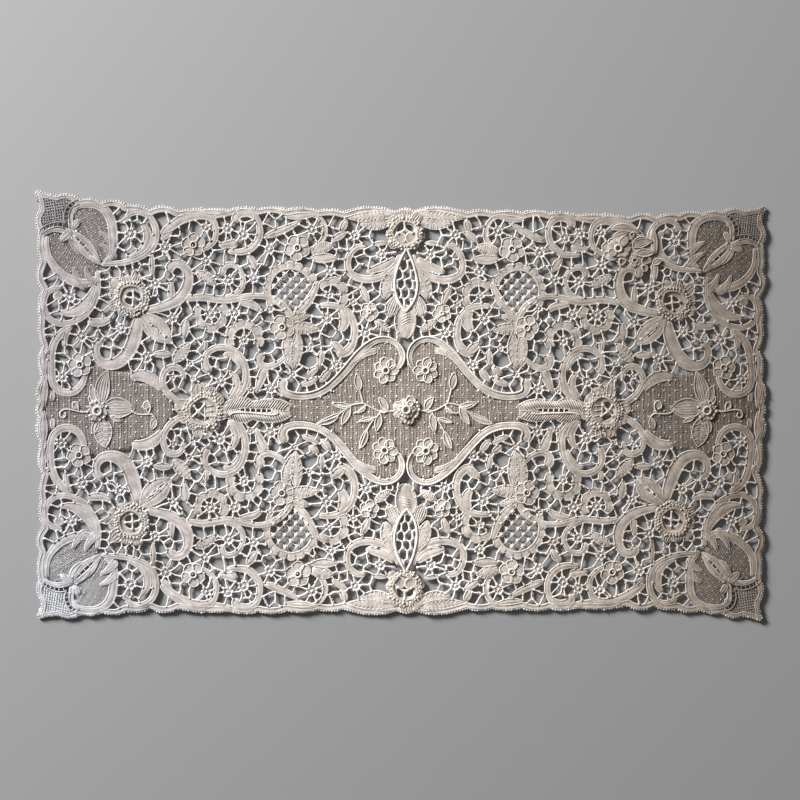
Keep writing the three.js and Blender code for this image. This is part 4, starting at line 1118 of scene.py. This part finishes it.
for i in range(len(cs)):
    near = np.argsort(((cs - cs[i]) ** 2).sum(1))[1:14]
    poly = cs[i] + 30.0 * np.array([[-1, -1], [1, -1], [1, 1], [-1, 1]])
    for j in near:
        poly, _ = clip_cell(poly, 2 * (cs[j] - cs[i]), cs[j] @ cs[j] - cs[i] @ cs[i])
    for j in near:
        if (min(i, j), max(i, j)) in seen:
            continue
        on = np.abs(poly @ (2 * (cs[j] - cs[i])) - (cs[j] @ cs[j] - cs[i] @ cs[i])) < 1e-6 * 1e4
        if on.sum() == 2:
            seen.add((min(i, j), max(i, j)))
            a, b = poly[on] * STRETCH
            t = np.linspace(0, 1, 24)[:, None]
            line = a + (b - a) * t
            ok = inside(al_line, line[:, 0], line[:, 1])
            if ok.sum() > 2:
                q = line[ok]
                tube(almond, np.stack([q[0], q[0] * 0.7 + q[-1] * 0.3, q[0] * 0.3 + q[-1] * 0.7, q[-1]]), [1.75, 1.0, 1.0, 1.75], 0.62, sides=6)
# the wide petal under it, and its ribs
leaf(almond, 406, 305, 406, 338, 22.5, keep=False, rib=0.0, blunt=0.42)
for k in range(4):
    tube(almond, np.stack([chart(402, 322.5 - 2.6 * k + 2), chart(406, 320.5 - 2.6 * k + 2), chart(410, 319 - 2.6 * k + 2)]), 0.5, 1.0, sides=4)
for my in (1, -1):
    stem_cloth.take(almond, 1, my)

# ---------------------------------------------------------------- sprigs on the net
sprig_mid = Thread()
S = lambda pts, r=0.85, z=0.9: tube(sprig_mid, curve([chart(*p) for p in pts], 1.5), r, z)
S([(397, 411), (389, 411.5), (380, 411.5), (372, 408), (367, 405), (364, 403.5), (356, 404.5), (350, 406.5), (343, 411.5), (337, 416), (329, 419), (318, 423)])
S([(364, 403.5), (362, 396), (360, 389)])
S([(350, 406.5), (344, 407), (339, 405)])
S([(380, 413), (377, 417), (371, 419.5), (359, 422.5)])
S([(374, 419.5), (370, 426), (367, 432), (362, 445), (360, 449)])
S([(367, 405), (361, 411), (354, 414)])
for row in [(360, 390, 356, 373, 8, 0, 0), (352, 406.5, 333, 402.5, 6.5, 1, 0), (340, 413, 317, 423, 7.5, 2, 0), (351, 407.5, 342, 424.5, 7.5, 0, 0),
            (366, 408, 358, 413.5, 4, 0, 0), (387, 411, 379, 397.5, 7.5, -1, 0), (367, 431, 360, 449, 7.5, 1, 0), (380, 414, 377, 432, 7.5, 0, 0),
            (374, 418.5, 359, 422, 5, 0, 0), (387, 411, 380, 412, 4, 0, 0)]:
    leaf(sprig_mid, *row, keep=False, rib=0.0, groove_shade=-0.2, outline=0.6)
for fx, fy, sp in ((385.5, 370.5, 1), (385.5, 451, -1)):
    for k, (a, r1, w) in enumerate(((150, 12.6, 10.2), (100, 13.4, 10.4), (50, 13.0, 10.0), (0, 13.2, 10.2), (-52, 13.0, 10.4), (-104, 13.2, 10.0), (-156, 12.8, 10.0))):
        petal(sprig_mid, fx, fy, math.radians(a * sp), 2.6, r1, w, False, 0.12 * (k % 2), rib=-0.15, base=0.5, tone=0.0, blunt=0.42, rise=0.3, groove_shade=-0.2, outline=0.72)
    ring(sprig_mid, fx, fy, 3.2, 1.2, 1.25, stitches=8, wave=0.15)

sprig_end = Thread()
S2 = lambda pts, r=0.85, z=0.9: tube(sprig_end, curve([chart(*p) for p in pts], 1.5), r, z)
S2([(89, 411), (80, 411.5), (70, 409.5), (64, 410), (60.5, 413), (61, 417), (64, 418), (66, 415.5), (65, 412.5)])
S2([(78, 411), (78.5, 406), (77, 402), (73.5, 402.5), (73, 407), (76.5, 409)])
S2([(131, 410), (137, 413.5), (146, 414), (152, 414), (156, 417.5)])
S2([(149, 413.5), (151, 408), (150, 402.5), (146, 401), (143.5, 404), (144.5, 408), (148, 409)])
for row in [(100.5, 405, 108.5, 371, 15, 1.5, -4), (96.5, 403, 91.5, 385, 9, 0, -2), (102, 408, 134.5, 408.5, 21, 0.5, -5),
            (103, 417, 106, 447, 18.5, -1, 6), (97, 419, 93, 433, 7.5, 0, 0),
            (110, 416, 121, 421.5, 5.5, 0, 0), (156, 418, 152.5, 429, 7.5, 0, 0), (92, 404, 89, 396, 4, 0, 0)]:
    leaf(sprig_end, *row, keep=False, rib=0.05, groove_shade=-0.12, outline=0.5)
knob(sprig_end, 75.8, 405.5, 3.2, False)
knob(sprig_end, 147.5, 405, 3.4, False)
for k in range(8):
    a = 2 * math.pi * k / 8 + 0.2
    petal(sprig_end, 97, 410.5, a, 2.5, 9.5 + (k % 3), 7.0, False, 0.5 + 0.2 * (k % 2))
ring(sprig_end, 97, 410.5, 3.9, 1.3, 1.9, stitches=8, wave=0.1)
eye_bars(sprig_end, 97, 410.5, 3.6, (0.6, 0.2), (70, 190, 310))
fringe(sprig_end, 97, 410.5, 9.5, 0, 340, 14, 1.3, 1.5, 8)
for mx in (1, -1):
    sprigs.take(sprig_mid, mx, 1)
    sprigs.take(sprig_end, mx, 1)

# ---------------------------------------------------------------- raised flowers
raised_t = Thread()
corner = Thread()
rosette(corner, 131.8, 298.0, 9.0, 12.2, 17.8, (-2.2, 2.0), 31, 31, 1.85, squash=0.95, petals=[(137, 27.5, 15), (72, 25, 11), (104, 24, 12), (170, 24.5, 11), (204, 25.5, 12.5), (238, 22, 11), (276, 21.5, 11), (28, 21, 9), (325, 20.5, 8)])
eye_bars(corner, 132.8, 299, 8.6, (0.4, 0.6), (88, 168, 268, 348))
end_r = Thread()
rosette(end_r, 203.5, 411.5, 10.6, 13.0, 18.6, (1.6, 0.4), 32, 33, 1.95, squash=1.04, petals=[(98, 29.5, 19), (67, 26, 13), (39, 24.5, 14), (167, 29, 15.5), (199, 26, 13.5), (232, 23.5, 12), (268, 28, 21), (307, 23.5, 12.5), (354, 25, 14.5)])
eye_bars(end_r, 200.5, 412, 9.0, (-1.4, 0.2), (55, 132, 216, 320))
t = np.linspace(-1, 1, 13)
cols = [np.stack([205.6 + q * (203.5 + 12.6 * np.cos(1.25 * t) - 205.6), 411.5 - (9.3 * t * (1 - q) + 12.6 * np.sin(1.25 * t) * q), np.full(13, 0.95 + 0.85 * q * q)], 1) for q in (0.0, 0.12, 0.45, 0.8, 1.0)]
plate = np.stack(cols, 1)
plate[..., 0] -= CHART_X
plate[..., 1] = CHART_Y - plate[..., 1]
i, j = np.meshgrid(np.arange(12), np.arange(4), indexing="ij")
i, j = i.ravel(), j.ravel()
end_r.add(plate.reshape(-1, 3), np.stack([i * 5 + j, i * 5 + j + 1, (i + 1) * 5 + j + 1, (i + 1) * 5 + j], 1), None, np.tile(np.array([[0, 0, 0.9], [0, 0.4, 0.5], [0, 1, 0.05], [0, 2, 0.0], [0, 3, -0.1]]), (13, 1)))
tube(end_r, plate[:, 0, :2], 0.7, 0.95, sides=6)
for k in (-1, 0, 1):
    tube(end_r, np.stack([chart(205.8, 411.5 + 4.6 * k), chart(209.5, 411.5 + 5.0 * k), chart(214, 411.5 + 5.6 * k)]), [0.45, 0.5, 0.45], [1.05, 1.35, 1.8], sides=5, cord=0.5)
side_r = Thread()
rosette(side_r, 405.5, 232.5, 10.0, 12.2, 17.4, (0.3, -1.8), 33, 30, 1.85, petals=[(90, 24.5, 12.5), (130, 23, 9.5), (51, 25, 11), (188, 20, 9.5), (223, 23, 10.5), (268, 18.5, 8), (305, 19.5, 9), (345, 21, 9), (18, 20.5, 8.5)])
eye_bars(side_r, 405.5, 230, 9.0, (0.3, 0.3), (92, 205, 335))
dish(side_r, 400.4, 238.2, 6.2, 1.4)
dish(side_r, 411.0, 237.8, 6.2, 1.45)
for mx, my in QUARTERS:
    raised_t.take(corner, mx, my)
for mx in (1, -1):
    raised_t.take(end_r, mx, 1)
for my in (1, -1):
    raised_t.take(side_r, 1, my)
mid_r = Thread()
# petals on the left are painted lighter and those on the right painted darker, as light and shade from the left
for k in range(8):
    a = 2 * math.pi * k / 8 + 0.35 + 0.2 * math.sin(3.1 * k)
    left = math.cos(a) < 0.15
    petal(mid_r, 406, 410.5, a, 3.0, 13.4 + 1.7 * math.sin(2.3 * k), 9.8, False, 0.4 + 0.35 * (k % 2), rib=0.1, tone=0.5 if left else -0.14, outline=0.0 if left else 0.55)
for k in range(7):
    a = 2 * math.pi * k / 7 + 0.1 + 0.15 * math.sin(2.7 * k)
    left = math.cos(a) < 0.15
    petal(mid_r, 406, 410.5, a, 2.4, 9.0 + 1.2 * math.sin(1.9 * k), 6.2, False, 1.2 + 0.3 * (k % 2), rib=0.1, tone=0.5 if left else -0.2, outline=0.0 if left else 0.5)
ring(mid_r, 406, 410.5, 3.7, 1.3, 2.45, stitches=9, wave=0.12)
eye_bars(mid_r, 406, 410.5, 3.4, (0.4, 0.3), (80, 200, 320))
fringe(mid_r, 406, 410.5, 6.6, -150, 120, 11, 1.35, 2.1, 10)
fringe(mid_r, 406, 410.5, 11.8, -110, 70, 11, 1.4, 1.5, 9)
raised_t.take(mid_r)
bunch = Thread()
bx, by = 5.5, -5.4
g = np.random.default_rng(41)
for x0, y0, x1, y1, width, bend, veins, lift, line in [
    (608, 250, 657, 251, 38, 0, 0, -0.05, 0), (610, 229.5, 641, 232.5, 9, 3.5, 0, 0.3, 0), (653, 226, 655, 256, 7.5, 1, 0, 0.25, 0), (655, 258, 656, 282, 8, 0, 0, 0.2, 0),
    (633.5, 247.5, 652.5, 240, 12, 2.5, -2, 0.7, 0.5), (636, 254.5, 654.5, 252, 9, 0.5, 0, 0.85, 0.5), (653, 264, 662, 259, 7, 0.5, 0, 0.5, 0.5), (639, 268, 639.5, 280, 9, 0, 0, 0.2, 0),
    (606, 258.5, 618, 257, 7, -1, 0, 0.3, 0), (612, 239, 630, 232.5, 8, 1, 0, 0.3, 0), (626, 268, 651, 272, 8, 1, 0, 0.15, 0),
]:
    leaf(bunch, x0 + bx, y0 + by, x1 + bx, y1 + by, width, bend, veins, False, lift + 0.35, groove_shade=0.42, outline=line)
for k, (a, far, wide) in enumerate([(100, 11, 8.5), (55, 16, 9.5), (8, 13.5, 10), (-35, 12.5, 9), (172, 11.5, 9.5), (-148, 12, 9.5), (-92, 9, 8), (134, 11, 8)]):
    petal(bunch, 618.5 + bx, 249.5 + by, math.radians(a), 2.6, far, wide, False, 1.05 + 0.28 * (k % 2), rib=-0.18, base=0.5, tone=0.7 - 0.2 * (k % 3), blunt=0.45)
ring(bunch, 618.5 + bx, 249.5 + by, 3.4, 1.3, 2.45, stitches=9, wave=0.15)
for k in range(5):
    petal(bunch, 635.3 + bx, 261.3 + by, 2 * math.pi * k / 5 + 0.5, 2.0, 6.6 + 1.2 * (k % 2), 6.4, False, 0.85 + 0.25 * (k % 2), rib=-0.12, base=0.5, tone=0.6, blunt=0.45)
for k, (x, y, r) in enumerate([(622, 263, 3.1), (646.5, 260.3, 4.2), (645, 268.7, 2.9), (632.5, 234.6, 2.0), (631.2, 241.6, 2.1), (635.3, 261.3, 2.4)]):
    n, wob = 18, 1 + 0.12 * np.cos(2 * np.pi * np.arange(18) / 18 * 3 + g.uniform(0, 6)) + 0.1 * np.cos(2 * np.pi * np.arange(18) / 18 * 2 + g.uniform(0, 6))
    c, a = np.array(chart(x + bx, y + by)), 2 * np.pi * np.arange(18) / 18
    # the last column is the tone: the rim crest painted lighter, the inside darkened to a pit as painted shade
    rows = [(r + 1.3, 0.9, 0.0), (r + 0.95, 1.85, 0.4), (r + 0.3, 2.12, 0.55), (r - 0.5, 1.85, -0.35), (r * 0.45, 1.5, -0.75)]
    pts = np.concatenate([np.stack([c[0] + q * wob * np.cos(a), c[1] + q * wob * np.sin(a), np.full(n, z + 0.1 * (k % 3))], 1) for q, z, _ in rows] + [[[*c, 1.45]]])
    tone = np.concatenate([np.stack([a * 2, np.full(n, q), np.full(n, e)], 1) for q, _, e in rows] + [[[0, 0, -0.8]]])
    last = (len(rows) - 1) * n
    bunch.add(pts, loops(len(rows), n, False)[:, ::-1], [[len(rows) * n, last + j, last + (j + 1) % n] for j in range(n)], tone)

raised_t.take(bunch)

# ---------------------------------------------------------------- materials
def thread_material(name, cloth, cord, aged, painted_shade_colour=(0.16, 0.12, 0.10), rough=0.85, stitch=1.15, bump=0.5, ribs=0.14, comb=0.24, wear_and_shade=(0.36, 0.315, 0.275)):
    """Linen thread: close cloth between paler cords, with patches of ageing, stitch rows and loose fibre, painted shade
    in grooves and hollows, and painted light and shade that change across the lace.
    """
    m = bpy.data.materials.new(name)
    m.use_nodes = True
    nt = m.node_tree
    b = nt.nodes["Principled BSDF"]
    link = nt.links.new

    def node(kind, **sockets):
        n = nt.nodes.new("ShaderNode" + kind)
        for k, v in sockets.items():
            n.inputs[k.replace("_", " ")].default_value = v
        return n

    where = node("TexCoord")
    at = node("Attribute")
    at.attribute_name = "along"
    parts = node("SeparateXYZ")
    link(at.outputs["Vector"], parts.inputs[0])
    # cloth to cord
    base = node("Mix")
    base.data_type = "RGBA"
    base.inputs[6].default_value = (*cloth, 1)
    base.inputs[7].default_value = (*cord, 1)
    link(parts.outputs["Z"], base.inputs[0])
    # below nought the thread is darkened towards a dark brown: painted shade in grooves, folds, pits and shaded petals
    low = node("MapRange")
    low.inputs["From Min"].default_value = 0.0
    low.inputs["From Max"].default_value = -1.0
    link(parts.outputs["Z"], low.inputs["Value"])
    painted_shade_mix = node("Mix")
    painted_shade_mix.data_type = "RGBA"
    painted_shade_mix.inputs[7].default_value = (*painted_shade_colour, 1)
    link(low.outputs["Result"], painted_shade_mix.inputs[0])
    link(base.outputs[2], painted_shade_mix.inputs[6])
    # patches of ageing
    big = node("TexNoise", Scale=34.0, Detail=4.0, Roughness=0.65)
    link(where.outputs["Object"], big.inputs["Vector"])
    ramp = node("ValToRGB")
    ramp.color_ramp.elements[0].position = 0.45
    ramp.color_ramp.elements[0].color = (0, 0, 0, 1)
    ramp.color_ramp.elements[1].position = 0.68
    ramp.color_ramp.elements[1].color = (0.6, 0.6, 0.6, 1)
    link(big.outputs["Fac"], ramp.inputs["Fac"])
    old = node("Mix")
    old.data_type = "RGBA"
    old.inputs[7].default_value = (*aged, 1)
    link(ramp.outputs["Color"], old.inputs[0])
    link(painted_shade_mix.outputs[2], old.inputs[6])
    # one end is darker and browner: partly ageing, partly painted shade where the light falls off
    axis = node("SeparateXYZ")
    link(where.outputs["Object"], axis.inputs[0])
    side = node("MapRange")
    side.inputs["From Min"].default_value = 0.02
    side.inputs["From Max"].default_value = 0.22
    link(axis.outputs["X"], side.inputs["Value"])
    worn_and_shaded = node("Mix")
    worn_and_shaded.data_type = "RGBA"
    worn_and_shaded.blend_type = "MULTIPLY"
    worn_and_shaded.inputs[7].default_value = (*wear_and_shade, 1)
    spare = node("MapRange")
    spare.inputs["To Min"].default_value = 1.0
    spare.inputs["To Max"].default_value = 0.85
    link(parts.outputs["Z"], spare.inputs["Value"])
    much = node("Math")
    much.operation = "MULTIPLY"
    link(side.outputs["Result"], much.inputs[0])
    link(spare.outputs["Result"], much.inputs[1])
    link(much.outputs[0], worn_and_shaded.inputs[0])
    link(old.outputs[2], worn_and_shaded.inputs[6])
    # the other end is darker and cooler: painted shade with a cool cast of light
    other = node("MapRange")
    other.inputs["From Min"].default_value = 0.0
    other.inputs["From Max"].default_value = -0.22
    link(axis.outputs["X"], other.inputs["Value"])
    cool_shade_cast = node("Mix")
    cool_shade_cast.data_type = "RGBA"
    cool_shade_cast.blend_type = "MULTIPLY"
    cool_shade_cast.inputs[7].default_value = (0.63, 0.645, 0.70, 1)
    link(other.outputs["Result"], cool_shade_cast.inputs[0])
    link(worn_and_shaded.outputs[2], cool_shade_cast.inputs[6])
    # painted light: a pool of whiter, cooler light round one corner
    off = node("VectorMath")
    off.operation = "DISTANCE"
    off.inputs[1].default_value = (-0.222, -0.130, 0.0)
    link(where.outputs["Object"], off.inputs[0])
    near = node("MapRange")
    near.inputs["From Min"].default_value = 0.075
    near.inputs["From Max"].default_value = 0.015
    near.inputs["To Max"].default_value = 0.7
    link(off.outputs["Value"], near.inputs["Value"])
    corner_light_pool = node("Mix")
    corner_light_pool.data_type = "RGBA"
    corner_light_pool.inputs[7].default_value = (0.54, 0.558, 0.592, 1)
    link(near.outputs["Result"], corner_light_pool.inputs[0])
    link(cool_shade_cast.outputs[2], corner_light_pool.inputs[6])
    # thread to thread
    fleck = node("TexNoise", Scale=420.0, Detail=4.0)
    link(where.outputs["Object"], fleck.inputs["Vector"])
    shade = node("MapRange")
    shade.inputs["From Min"].default_value = 0.3
    shade.inputs["From Max"].default_value = 0.7
    shade.inputs["To Min"].default_value = 0.80
    shade.inputs["To Max"].default_value = 1.05
    link(fleck.outputs["Fac"], shade.inputs["Value"])
    run = node("Mapping")
    run.inputs["Scale"].default_value = (0.16, 1.25, 0.0)
    link(at.outputs["Vector"], run.inputs["Vector"])
    streak = node("TexNoise", Scale=1.0, Detail=2.0)
    link(run.outputs["Vector"], streak.inputs["Vector"])
    combed = node("MapRange")
    combed.inputs["From Min"].default_value = 0.32
    combed.inputs["From Max"].default_value = 0.68
    combed.inputs["To Min"].default_value = -comb
    combed.inputs["To Max"].default_value = 0.5 * comb
    link(streak.outputs["Fac"], combed.inputs["Value"])
    flat = node("MapRange")
    flat.inputs["From Max"].default_value = 0.8
    flat.inputs["To Min"].default_value = 1.0
    flat.inputs["To Max"].default_value = 0.0
    link(parts.outputs["Z"], flat.inputs["Value"])
    plain = node("Math")
    plain.operation = "MULTIPLY_ADD"
    plain.inputs[2].default_value = 1.0
    link(combed.outputs["Result"], plain.inputs[0])
    link(flat.outputs["Result"], plain.inputs[1])
    both = node("Math")
    both.operation = "MULTIPLY"
    link(shade.outputs["Result"], both.inputs[0])
    link(plain.outputs[0], both.inputs[1])
    final = node("Mix")
    final.data_type = "RGBA"
    final.blend_type = "MULTIPLY"
    final.inputs[0].default_value = 1.0
    link(corner_light_pool.outputs[2], final.inputs[6])
    # painted light: the thread is lighter towards the front and darker towards the back
    front_back_light = node("MapRange")
    front_back_light.inputs["From Min"].default_value = -0.125
    front_back_light.inputs["From Max"].default_value = 0.125
    front_back_light.inputs["To Min"].default_value = 1.065
    front_back_light.inputs["To Max"].default_value = 0.83
    link(axis.outputs["Y"], front_back_light.inputs["Value"])
    tint = node("Math")
    tint.operation = "MULTIPLY"
    link(both.outputs[0], tint.inputs[0])
    link(front_back_light.outputs["Result"], tint.inputs[1])
    link(tint.outputs[0], final.inputs[7])
    # rows of stitches and fibre
    wave = node("TexWave", Scale=0.628 / stitch, Distortion=1.2, Detail=1.0)
    wave.wave_type = "BANDS"
    wave.bands_direction = "DIAGONAL"
    link(at.outputs["Vector"], wave.inputs["Vector"])
    rows = node("MapRange")
    rows.inputs["To Min"].default_value = 1.0 - ribs
    rows.inputs["To Max"].default_value = 1.0 + 0.4 * ribs
    link(wave.outputs["Fac"], rows.inputs["Value"])
    lines = node("Mix")
    lines.data_type = "RGBA"
    lines.blend_type = "MULTIPLY"
    lines.inputs[0].default_value = 1.0
    link(final.outputs[2], lines.inputs[6])
    link(rows.outputs["Result"], lines.inputs[7])
    link(lines.outputs[2], b.inputs["Base Color"])
    fibre = node("TexNoise", Scale=1900.0)
    link(where.outputs["Object"], fibre.inputs["Vector"])
    add = node("Math")
    add.operation = "MULTIPLY_ADD"
    add.inputs[1].default_value = 0.7
    link(fibre.outputs["Fac"], add.inputs[0])
    link(wave.outputs["Fac"], add.inputs[2])
    bp = node("Bump", Strength=bump, Distance=0.0002)
    link(add.outputs[0], bp.inputs["Height"])
    link(bp.outputs["Normal"], b.inputs["Normal"])
    b.inputs["Roughness"].default_value = rough
    b.inputs["Sheen Weight"].default_value = 0.2
    b.inputs["Sheen Roughness"].default_value = 0.5
    b.inputs["Specular IOR Level"].default_value = 0.2
    return m


ivory = thread_material("ivory_thread", (0.68, 0.612, 0.556), (0.90, 0.835, 0.78), (0.53, 0.455, 0.38))
cream = thread_material("cream_thread", (0.60, 0.53, 0.462), (0.87, 0.80, 0.725), (0.45, 0.385, 0.31), stitch=0.95)
sprig = thread_material("sprig_thread", (0.62, 0.558, 0.508), (0.84, 0.785, 0.73), (0.50, 0.43, 0.372))
half_cloth = thread_material("pod_thread", (0.47, 0.425, 0.395), (0.54, 0.495, 0.465), (0.40, 0.345, 0.295))
# the corner fans' thread is darkened as painted shade
shaded_fan_cloth = thread_material("corner_thread_shaded", (0.32, 0.285, 0.268), (0.375, 0.338, 0.32), (0.285, 0.24, 0.21))
fine = thread_material("fine_thread", (0.47, 0.405, 0.355), (0.47, 0.405, 0.355), (0.40, 0.33, 0.28), bump=0.3, ribs=0.0, comb=0.0, wear_and_shade=(0.26, 0.225, 0.20))


def piece(name, thread, material, replaces=()):
    p, q, t, a = thread.arrays()
    x, y = place(p[:, 0], p[:, 1])
    # laid by hand, so it doesn't lie dead flat
    rise = 0.35 + 0.28 * (1 + np.sin(0.17 * x + 0.11 * y + 0.5) * np.sin(0.13 * y - 0.08 * x + 1.1)) + 0.16 * (1 + np.sin(0.41 * x - 0.29 * y) * np.sin(0.37 * y + 0.23 * x + 2.0))
    co = np.stack([x, y, p[:, 2] + rise], 1) * 0.001
    me = bpy.data.meshes.new(name)
    me.vertices.add(len(co))
    me.vertices.foreach_set("co", co.astype(np.float32).ravel())
    corner = np.concatenate([q.ravel(), t.ravel()]).astype(np.int32)
    me.loops.add(len(corner))
    me.loops.foreach_set("vertex_index", corner)
    start = np.concatenate([np.arange(len(q)) * 4, len(q) * 4 + np.arange(len(t)) * 3]).astype(np.int32)
    me.polygons.add(len(q) + len(t))
    me.polygons.foreach_set("loop_start", start)
    me.polygons.foreach_set("use_smooth", np.ones(len(start), bool))
    at = me.attributes.new("along", "FLOAT_VECTOR", "POINT")
    at.data.foreach_set("vector", a.astype(np.float32).ravel())
    me.update(calc_edges=True)
    me.validate()
    o = bpy.data.objects.new(name, me)
    bpy.context.scene.collection.objects.link(o)
    me.materials.append(material)
    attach(o, "root")
    if replaces:
        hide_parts(*replaces)
    print(name, thread.triangles())
    return o


nodes = list(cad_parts)
raised = [n for n in nodes if "flower" in n]
o_toile = piece("lace_cloth", all_toile, ivory, ["lace_ground"])
o_corner = piece("lace_corners", corner_cloth, shaded_fan_cloth)
o_stem = piece("lace_stems", stem_cloth, ivory)
o_sprigs = piece("net_sprigs", sprigs, sprig)
o_raised = piece("raised_flowers", raised_t, cream, raised)
o_small = piece("lace_motifs", all_small, ivory)
o_edge = piece("lace_edge", all_edge, ivory)
half1, half2 = Thread(), Thread()
half1.take(bars[0]); half1.take(bars[1]); half2.take(bars[2]); half2.take(bars[3])
o_pleaf = piece("pod_leaves", all_pleaf, ivory)
o_thin = piece("pod_leaves_thin", thin_pleaf, half_cloth)
o_b1 = piece("lace_bars_back", half1, ivory)
o_b2 = piece("lace_bars_front", half2, ivory)
o_nm = piece("medallion_net", net_mid, fine, ["net_medallion"])
o_nl = piece("end_net_left", net_left, fine, ["net_end_left"])
o_nr = piece("end_net_right", net_right, fine, ["net_end_right"])
o_pods = {at: piece("pod_net_" + at, t, fine, ["net_pod_" + at]) for at, t in net_pods.items()}

# ---------------------------------------------------------------- floor, light, camera
floor_mesh = bpy.data.meshes.new("floor")
floor_mesh.from_pydata([(-3, -3, -0.0002), (3, -3, -0.0002), (3, 3, -0.0002), (-3, 3, -0.0002)], [], [(0, 1, 2, 3)])
floor = bpy.data.objects.new("floor", floor_mesh)
bpy.context.scene.collection.objects.link(floor)
fm = bpy.data.materials.new("floor")
fm.use_nodes = True
fb = fm.node_tree.nodes["Principled BSDF"]
fb.inputs["Base Color"].default_value = (0.255, 0.255, 0.258, 1)
fb.inputs["Roughness"].default_value = 0.9
floor_mesh.materials.append(fm)


def area_light(name, at, aim, size, power):
    d = bpy.data.lights.new(name, "AREA")
    d.shape = "SQUARE"
    d.size = size
    d.energy = power
    o = bpy.data.objects.new(name, d)
    o.location = at
    bpy.context.scene.collection.objects.link(o)
    from mathutils import Vector
    o.rotation_euler = (Vector(aim) - Vector(at)).to_track_quat("-Z", "Y").to_euler()
    return o


area_light("key", (-1.72, 1.42, 0.93), (0.0, 0, 0), 0.66, 180)
area_light("fill", (0.8, -0.6, 0.9), (0, 0, 0), 0.9, 0.9)
area_light("top", (-0.1, 0.1, 1.3), (0, 0, 0), 0.7, 1.2)
world = bpy.data.worlds.new("studio")
world.use_nodes = True
world.node_tree.nodes["Background"].inputs["Color"].default_value = (1, 1, 1, 1)
world.node_tree.nodes["Background"].inputs["Strength"].default_value = 0.055
bpy.context.scene.world = world
bpy.context.scene.view_settings.view_transform = "Standard"

cam = bpy.data.cameras.new("camera")
cam_o = bpy.data.objects.new("camera", cam)
bpy.context.scene.collection.objects.link(cam_o)
AWAY = 1.9
cam.sensor_width = 36
cam.lens = 36 * AWAY / (800 * MM * 0.001)
cx, cy = (400 - CHART_X) * MM + MIDDLE_X, (CHART_Y - 400) * MM + MIDDLE_Y
cam_o.location = (cx * 0.001, cy * 0.001, AWAY)
cam_o.rotation_euler = (0, 0, 0)
bpy.context.scene.camera = cam_o


for at, o in o_pods.items():
    k = "ab".index(at[-1])
